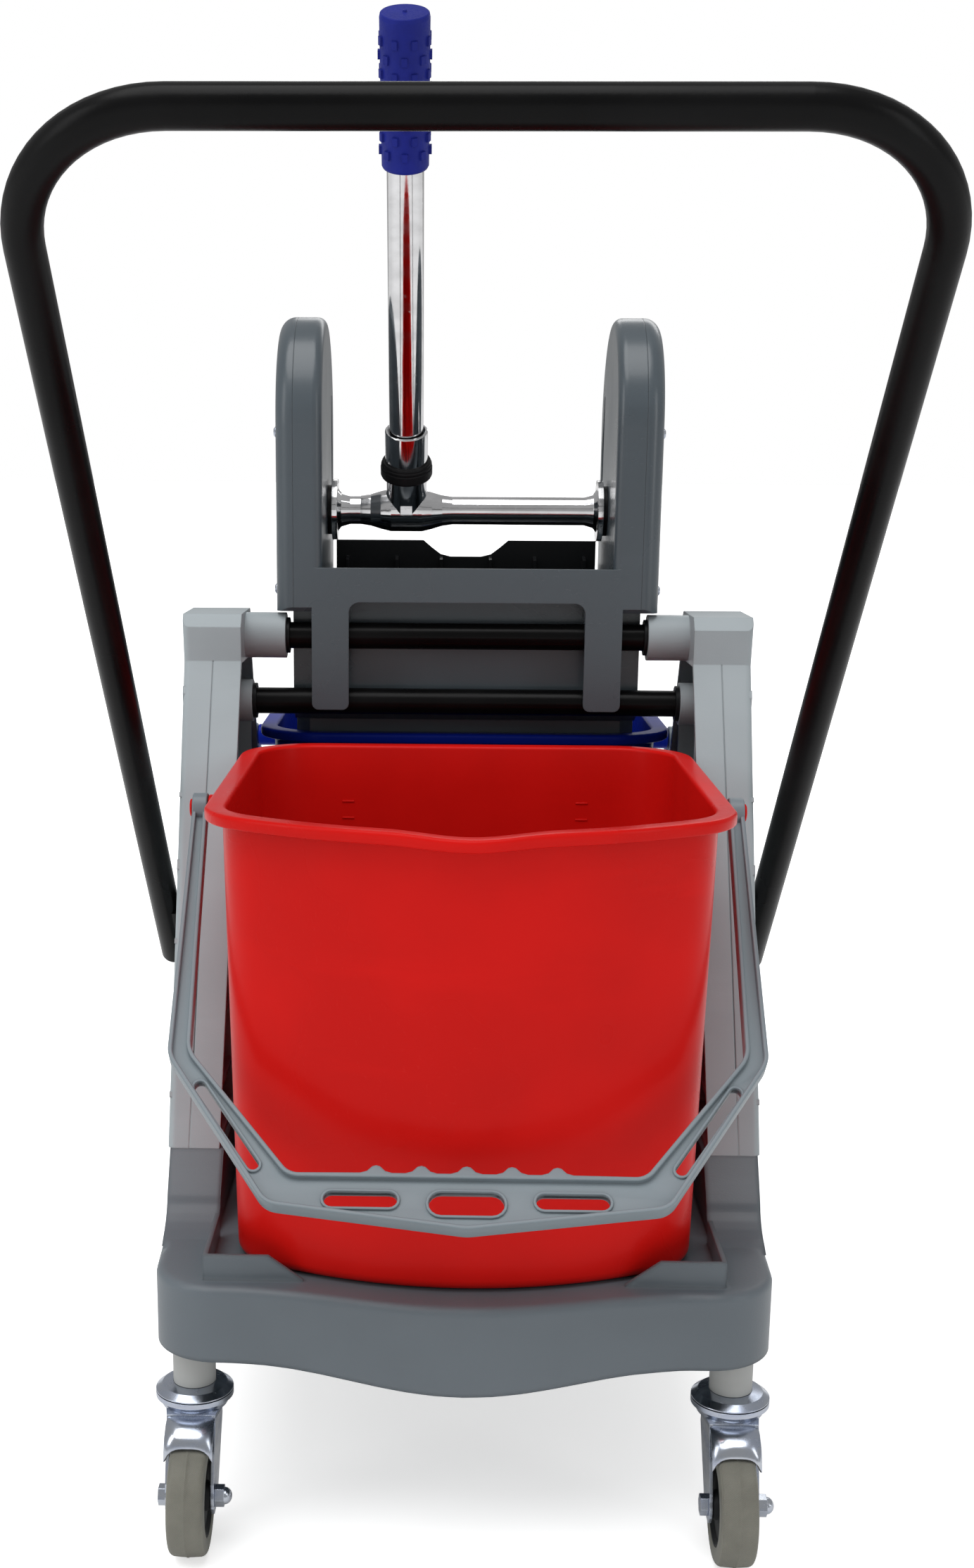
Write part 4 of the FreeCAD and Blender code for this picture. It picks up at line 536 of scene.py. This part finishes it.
def build_bucket(name, side, slot):
    floor = BASE_Z + 3.0
    profile = [(BASE_Z + 1.2, 120.0), (BASE_Z + 1.2, 22.0), (BASE_Z, 18.0), (BASE_Z, 8.0)]
    profile += round_profile(BASE_Z + 8.0, 8.0, 8.0, -75, 0, 5)
    profile += [(250.0, 0.0), (340.0, 0.0), (430.0, 0.0), (455.0, 0.0), (TOP_Z - 10.0, 0.0), (TOP_Z - 5.0, 0.0)]
    profile += [(TOP_Z - 3.6, -0.8), (TOP_Z - 3.0, -2.6), (TOP_Z - 3.0, -RIM_OUT + 3.4)]
    profile += [(TOP_Z - 3.8, -RIM_OUT + 2.6), (TOP_Z - RIM_DROP + 1.0, -RIM_OUT + 2.6)]
    profile += round_profile(TOP_Z - RIM_DROP + 1.3, -RIM_OUT + 1.3, 1.3, -150, -10, 4)
    profile += round_profile(TOP_Z - 2.6, -RIM_OUT + 2.6, 2.6, 0, 90, 5)
    profile += [(TOP_Z, -5.0), (TOP_Z, 0.0)]
    for k in range(1, 6):
        a = math.radians(90.0 * k / 5)
        profile.append((TOP_Z - 2.4 + 2.4 * math.cos(a), 0.2 + 2.4 * math.sin(a)))
    profile += [(455.0, WALL), (430.0, WALL), (340.0, WALL), (250.0, WALL)]
    profile += [(z, i + WALL) for z, i in reversed(round_profile(floor + 8.0, 8.0, 8.0, -90, 0, 5))]
    profile += [(floor, 24.0), (floor - 0.4, 60.0), (floor - 0.4, 120.0)]
    bm = bmesh.new()
    made = stack(bm, [bucket_ring(z, inset, side) for z, inset in profile])
    bm.faces.new(list(reversed(made[0])))
    bm.faces.new(made[-1])
    for sx in (-1, 1):
        wall = 150.6
        lug = [(15.0, wall), (12.0, wall + 2.6), (9.6, wall + 5.0), (9.0, wall + 9.0), (9.0, BAIL_IN - 1.2),
               (8.3, BAIL_IN - 0.5), (4.0, BAIL_IN - 0.5), (4.0, BAIL_OUT + 0.4), (6.0, BAIL_OUT + 0.6),
               (6.0, BAIL_OUT + 1.6), (5.2, BAIL_OUT + 2.2), (1.5, BAIL_OUT + 2.2)]
        base = (0.0, side * PIVOT_Y + MIDDLE_Y, PIVOT_Z)
        lathe(bm, lug, base, (sx, 0, 0), (0, 0, 1), 32)
    obj = new_object(name, bm, 40.0)
    return settle(obj, name, slot, name)


# ------------------------------------------------------------------ bails
def moved_in(points, distance):
    """Closed polygon with every side moved inwards by a distance, corners kept sharp."""
    out = []
    n = len(points)
    for i in range(n):
        p = Vector(points[i])
        a = (p - Vector(points[i - 1])).normalized()
        b = (Vector(points[(i + 1) % n]) - p).normalized()
        normal = Vector((a.y, -a.x)) + Vector((b.y, -b.x))
        normal.normalize()
        lean = max(0.35, normal.dot(Vector((a.y, -a.x))))
        out.append(tuple(p + normal * (distance / lean)))
    return out


def bail_corners():
    """Sharp corners of the bail in its own plane with their radii; inner corners are negative."""
    right_out = [(BAIL_OUT, 0.0, 0.0), (BAIL_OUT, -ELBOW_DEPTH, ELBOW_ROUND), (KNEE[0], -KNEE[1], KNEE_ROUND),
                 (0.0, -TIP_DEPTH, TIP_ROUND)]
    left_out = [(-x, s, r) for x, s, r in reversed(right_out[:-1])]
    left_in = [(-BAIL_IN, 0.0, 0.0), (-ELBOW_IN[0], -ELBOW_IN[1], -ELBOW_ROUND),
               (-KNEE_IN[0], -KNEE_IN[1], -KNEE_IN_ROUND)]
    right_in = [(-x, s, r) for x, s, r in reversed(left_in)]
    return right_out + left_out + left_in + right_in


def bail_loop(distance, scalloped):
    """Outline of the bail moved inwards, with its corners rounded."""
    corners = bail_corners()
    points = moved_in([(x, s) for x, s, _ in corners], distance)
    radii = []
    for _, _, r in corners:
        if r > 0.0:
            radii.append(max(0.0, r - distance))
        else:
            radii.append(0.0 if r == 0.0 else -r + distance)
    loop = rounded(points, radii, 7)
    if not scalloped:
        return loop
    on_grip = [i for i, (x, s) in enumerate(loop) if x < 0.0 and abs(s + KNEE_IN[1]) < 1.5]
    cut = max(on_grip) + 1
    return loop[:cut] + list(reversed(scallops())) + loop[cut:]


def scallops():
    """Finger grip: five small peaks between shallow hollows, from +x to -x."""
    points = []
    low = -KNEE_IN[1]
    peak = low + FINGER_PEAK
    for i in range(5):
        x = (2 - i) * FINGER_PITCH
        half = [(9.5, low + 0.4), (5.5, low + 1.6), (2.4, peak - 0.7)]
        points += [(x + dx, s) for dx, s in half] + [(x, peak)] + [(x - dx, s) for dx, s in reversed(half)]
    return points


def slot_loop(x0, x1, s0, s1, r):
    """Long hole with round ends between two points of the bail's plane."""
    d = Vector((x1 - x0, s1 - s0)).normalized()
    n = Vector((-d.y, d.x))
    loop = []
    for centre, start in ((Vector((x1, s1)), -90), (Vector((x0, s0)), 90)):
        for k in range(9):
            a = math.radians(start + 180.0 * k / 8)
            loop.append(tuple(centre + d * r * math.cos(a) + n * r * math.sin(a)))
    return loop


def build_bail(name, side):
    slots = [slot_loop(*slot) for slot in GRIP_SLOTS]
    collars = [slot_loop(*slot[:4], slot[4] + COLLAR_W) for slot in GRIP_SLOTS]
    lean = Matrix.Rotation(math.radians(BAIL_LEAN) * side, 4, "X")
    upright = Matrix.Rotation(math.pi / 2, 4, "X")
    place = Matrix.Translation(Vector((0, side * PIVOT_Y + MIDDLE_Y, PIVOT_Z)) * MM) @ lean @ upright
    flange = [bail_loop(0.0, True), bail_loop(FLANGE_W, False)]
    meshes = [outline_plate(name, [bail_loop(WEB_INSET, True)] + slots, WEB_THICK, 0.4, place)]
    meshes.append(outline_plate(name, flange, BAIL_THICK, 0.8, place))
    for loop, rim in zip(slots, collars):
        meshes.append(outline_plate(name, [rim, loop], COLLAR_THICK, 0.5, place))
    obj = joined(name, meshes, 50.0)
    bm = bmesh.new()
    bm.from_mesh(obj.data)
    rim_r, rim_w = EYE_R - 0.6, EYE_HALF_W - 0.6
    eye = [(EYE_BORE, -EYE_HALF_W), (rim_r, -EYE_HALF_W), (EYE_R, -rim_w), (EYE_R, rim_w), (rim_r, EYE_HALF_W),
           (EYE_BORE, EYE_HALF_W), (EYE_BORE, -EYE_HALF_W)]
    for sx in (-1, 1):
        base = (sx * (BAIL_IN + BAIL_OUT) / 2.0, side * PIVOT_Y + MIDDLE_Y, PIVOT_Z)
        lathe(bm, eye, base, (1, 0, 0), (0, 0, 1), 36, cap=False)
    bm.to_mesh(obj.data)
    bm.free()
    obj.data.polygons.foreach_set("use_smooth", [True] * len(obj.data.polygons))
    obj.data.set_sharp_from_angle(angle=math.radians(40.0))
    return settle(obj, name, "bail", name)


# ------------------------------------------------------------------ repeated small pieces
def nub_group():
    """Geometry Nodes group: one small block on every point, turned to the point's own axes."""
    group = bpy.data.node_groups.new("block_on_points", "GeometryNodeTree")
    face = group.interface
    face.new_socket(name="Geometry", in_out="INPUT", socket_type="NodeSocketGeometry")
    size = face.new_socket(name="Block size", in_out="INPUT", socket_type="NodeSocketVector")
    finish = face.new_socket(name="Finish", in_out="INPUT", socket_type="NodeSocketMaterial")
    face.new_socket(name="Geometry", in_out="OUTPUT", socket_type="NodeSocketGeometry")
    new, link = group.nodes.new, group.links.new
    source, result = new("NodeGroupInput"), new("NodeGroupOutput")
    cube, place = new("GeometryNodeMeshCube"), new("GeometryNodeInstanceOnPoints")
    realize, paint = new("GeometryNodeRealizeInstances"), new("GeometryNodeSetMaterial")
    axes = []
    for key in ("outward", "along"):
        node = new("GeometryNodeInputNamedAttribute")
        node.data_type = "FLOAT_VECTOR"
        node.inputs["Name"].default_value = key
        axes.append(node)
    first, second = new("FunctionNodeAlignRotationToVector"), new("FunctionNodeAlignRotationToVector")
    first.axis, second.axis, second.pivot_axis = "Z", "Y", "Z"
    link(axes[0].outputs["Attribute"], first.inputs["Vector"])
    link(first.outputs["Rotation"], second.inputs["Rotation"])
    link(axes[1].outputs["Attribute"], second.inputs["Vector"])
    link(source.outputs["Geometry"], place.inputs["Points"])
    link(source.outputs["Block size"], cube.inputs["Size"])
    link(cube.outputs["Mesh"], place.inputs["Instance"])
    link(second.outputs["Rotation"], place.inputs["Rotation"])
    link(place.outputs["Instances"], realize.inputs["Geometry"])
    link(realize.outputs["Geometry"], paint.inputs["Geometry"])
    link(source.outputs["Finish"], paint.inputs["Material"])
    link(paint.outputs["Geometry"], result.inputs["Geometry"])
    return group, size.identifier, finish.identifier


def blocks(name, spots, size, bevel, body, slot):
    """Small blocks, each spot being (place, outward, along) in mm, made with Geometry Nodes."""
    mesh = bpy.data.meshes.new(name + "_points")
    mesh.from_pydata([tuple(Vector(p) * MM) for p, _, _ in spots], [], [])
    for index, key in ((1, "outward"), (2, "along")):
        attribute = mesh.attributes.new(key, "FLOAT_VECTOR", "POINT")
        for item, spot in zip(attribute.data, spots):
            item.vector = Vector(spot[index]).normalized()
    obj = bpy.data.objects.new(name, mesh)
    scene.collection.objects.link(obj)
    modifier = obj.modifiers.new("blocks", "NODES")
    modifier.node_group, size_id, finish_id = NUBS
    modifier[size_id] = [v * MM for v in size]
    modifier[finish_id] = MATERIALS[slot]
    bpy.context.view_layer.update()
    graph = bpy.context.evaluated_depsgraph_get()
    made = bpy.data.meshes.new_from_object(obj.evaluated_get(graph))
    bpy.data.objects.remove(obj)
    bm = bmesh.new()
    bm.from_mesh(made)
    if bevel:
        bmesh.ops.bevel(bm, geom=bm.edges[:], offset=bevel * MM, segments=2, affect="EDGES", profile=0.5)
    return settle(new_object(name, bm, 40.0), body, slot)


NUBS = nub_group()


def wall_y(z, side):
    """Inner face of the wall of a bucket that is nearest the middle of the trolley."""
    t = (z - BASE_Z) / (TOP_Z - BASE_Z)
    rear = BASE["rear"] + (TOP["rear"] - BASE["rear"]) * t
    return side * (rear + WALL) + MIDDLE_Y


def build_marks(name, side, slot):
    """Raised fill-level bars on the inner wall, every fourth one longer."""
    lean = (BASE["rear"] - TOP["rear"]) / (TOP_Z - BASE_Z)
    outward, along = (0.0, side, lean), (0.0, -side * lean, 1.0)
    for part, width, keep in (("short", MARK_SHORT, False), ("long", MARK_LONG, True)):
        spots = []
        for column in (-1, 1):
            for step in range(MARK_COUNT):
                if (step % 4 == 0) == keep:
                    z = MARK_LOW_Z + MARK_PITCH * step
                    x = column * (MARK_X - width / 2.0)
                    spots.append(((x, wall_y(z, side), z), outward, along))
        blocks(f"{name}_marks_{part}", spots, (width, MARK_THICK, MARK_RISE), 0.15, name, slot)


def build_hood(key):
    """Pressed bridge that closes the front of a caster fork over the wheel."""
    low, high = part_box("tyre_" + key)
    centre = (low + high) / 2.0 / MM
    half = (high.x - low.x) / 2.0 / MM + HOOD_SIDE
    bm = bmesh.new()
    rows = []
    for dy, z in HOOD_PATH:
        row = []
        for k in range(13):
            u = -1.0 + k / 6.0
            drop = HOOD_ARCH * abs(u) ** 4 * max(0.0, (6.0 - dy) / 17.0)
            row.append(bm.verts.new(Vector((centre.x + u * half, centre.y + dy, z - drop)) * MM))
        rows.append(row)
    for a, b in zip(rows, rows[1:]):
        for i in range(len(a) - 1):
            bm.faces.new((a[i], a[i + 1], b[i + 1], b[i]))
    obj = new_object("caster_hood_" + key, bm, 40.0)
    shell = obj.modifiers.new("sheet", "SOLIDIFY")
    shell.thickness = HOOD_SHEET * MM
    shell.offset = 0.0
    rim = obj.modifiers.new("rim", "BEVEL")
    rim.width = 0.4 * MM
    rim.segments = 2
    bpy.context.view_layer.update()
    graph = bpy.context.evaluated_depsgraph_get()
    made = bpy.data.meshes.new_from_object(obj.evaluated_get(graph))
    obj.modifiers.clear()
    obj.data = made
    return settle(obj, "caster_" + key, "zinc")


# ------------------------------------------------------------------ wheels
def build_tyre(key):
    low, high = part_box("tyre_" + key)
    centre = (low + high) / 2.0 / MM
    radius = (high.z - low.z) / 2.0 / MM
    half = (high.x - low.x) / 2.0 / MM
    profile = [(TYRE_SEAT_R, -half + 0.8), (TYRE_SEAT_R + 1.0, -half), (33.0, -half), (35.2, -half + 0.5)]
    for k in range(6):
        a = math.radians(15 + 75 * k / 5)
        profile.append((35.0 + 3.2 * math.sin(a), -half + 4.2 - 4.0 * math.cos(a)))
    seam = [(radius - 0.45, -3.0), (radius - 0.35, -0.8), (radius, -0.35)]
    profile += seam + [(r, -x) for r, x in reversed(seam)]
    mirrored = [(r, -x) for r, x in reversed(profile[:10])]
    profile = profile + mirrored
    bm = bmesh.new()
    lathe(bm, profile + [profile[0]], centre, (1, 0, 0), (0, 0, 1), TYRE_STEPS, cap=False)
    bmesh.ops.remove_doubles(bm, verts=bm.verts, dist=0.000002)
    layer = bm.loops.layers.uv.new("tread_map")
    mark = bm.verts.layers.float.new("tread")
    for vert in bm.verts:
        d = vert.co / MM - centre
        r = math.hypot(d.y, d.z)
        vert[mark] = 1.0 if r > TREAD_FROM_R else 0.0
    for face in bm.faces:
        mid = face.calc_center_median() / MM - centre
        a0 = math.atan2(mid.y, mid.z)
        for loop in face.loops:
            d = loop.vert.co / MM - centre
            a = math.atan2(d.y, d.z)
            while a - a0 > math.pi:
                a -= 2 * math.pi
            while a0 - a > math.pi:
                a += 2 * math.pi
            loop[layer].uv = (a * radius, d.x)
    obj = new_object("tyre_tread_" + key, bm, 50.0)
    return settle(obj, "wheel_" + key, "tyre", "tyre_" + key)


# ------------------------------------------------------------------ CAD nodes that stay
def dress_frame():
    slot_of = {}
    for entry in frame["record"]["subparts"]:
        slot_of[entry["node"]] = entry["material_slot"]
    for name, obj in nodes.items():
        obj.data.materials.clear()
        obj.data.materials.append(MATERIALS[slot_of[name]])


# ------------------------------------------------------------------ room, light and camera
def build_stage():
    bm = bmesh.new()
    bmesh.ops.create_grid(bm, x_segments=8, y_segments=8, size=FLOOR_HALF)
    floor = new_object("floor", bm)
    f = Finish("studio_floor")
    cloud = f.noise(1.5, 3.0)
    f.colour(f.blend(f.ramp(cloud, 0.3, 0.7), (0.90, 0.90, 0.90), (0.92, 0.92, 0.92)))
    f.shader.inputs["Roughness"].default_value = 0.7
    f.shader.inputs["Specular IOR Level"].default_value = 0.1
    rays = f.add("ShaderNodeLightPath")
    f.shader.inputs["Emission Color"].default_value = (1.0, 1.0, 1.0, 1.0)
    f.link(f.math("MULTIPLY", rays.outputs["Is Camera Ray"], FLOOR_LIFT), f.shader.inputs["Emission Strength"])
    floor.data.materials.append(f.mat)
    world = bpy.data.worlds.new("studio")
    world.use_nodes = True
    tree = world.node_tree
    sky = tree.nodes["Background"]
    rays = tree.nodes.new("ShaderNodeLightPath")
    choice = tree.nodes.new("ShaderNodeMapRange")
    choice.inputs["To Min"].default_value = SKY_LIGHT
    choice.inputs["To Max"].default_value = 1.0
    tree.links.new(rays.outputs["Is Camera Ray"], choice.inputs["Value"])
    tree.links.new(choice.outputs["Result"], sky.inputs["Strength"])
    sky.inputs["Color"].default_value = (1.0, 1.0, 1.0, 1.0)
    scene.world = world


def aim(obj, place, target):
    obj.location = place
    obj.rotation_mode = "QUATERNION"
    obj.rotation_quaternion = (Vector(target) - Vector(place)).to_track_quat("-Z", "Y")
    scene.collection.objects.link(obj)


def add_light(name, place, target, size, power):
    light = bpy.data.lights.new(name, "AREA")
    light.shape = "RECTANGLE"
    light.size, light.size_y = size
    light.energy = power
    aim(bpy.data.objects.new(name, light), place, target)


def build_lights():
    sun = bpy.data.lights.new("soft_sun", "SUN")
    sun.energy = SUN_LIGHT
    sun.angle = math.radians(SUN_SPREAD)
    aim(bpy.data.objects.new("soft_sun", sun), SUN_PLACE, (0.0, 0.0, 0.0))
    for name, place, size, power in SOFT_BOXES:
        add_light(name, place, LIGHT_TARGET, size, power)


def build_camera():
    """Camera in front of the push handle, a little above it, looking down on the trolley."""
    pitch, yaw, roll = (math.radians(a) for a in (CAMERA_PITCH, CAMERA_YAW, CAMERA_ROLL))
    ahead = Vector((math.sin(yaw) * math.cos(pitch), math.cos(yaw) * math.cos(pitch), -math.sin(pitch)))
    right = Vector((math.cos(yaw), -math.sin(yaw), 0.0))
    up = right.cross(ahead)
    right_rolled = right * math.cos(roll) + up * math.sin(roll)
    up_rolled = up * math.cos(roll) - right * math.sin(roll)
    data = bpy.data.cameras.new("camera")
    data.sensor_fit = "HORIZONTAL"
    data.sensor_width = CAMERA_SENSOR
    data.lens = CAMERA_LENS
    data.shift_x, data.shift_y = CAMERA_SHIFT
    data.clip_start = 0.05
    data.clip_end = 60.0
    camera = bpy.data.objects.new("camera", data)
    scene.collection.objects.link(camera)
    turn = Matrix((right_rolled, up_rolled, -ahead)).transposed().to_4x4()
    turn.translation = (Vector(CAMERA_PLACE) + Vector((0.0, MIDDLE_Y, 0.0))) * MM
    camera.matrix_world = turn
    scene.camera = camera


dress_frame()
build_bucket("red_bucket", -1, "red")
build_bucket("blue_bucket", 1, "blue")
build_bail("red_bail", -1)
build_bail("blue_bail", 1)
build_marks("red_bucket", -1, "red")
build_marks("blue_bucket", 1, "blue")
for wheel in WHEELS:
    build_tyre(wheel)
    build_hood(wheel)
build_stage()
build_lights()
build_camera()
scene.view_settings.view_transform = "Standard"
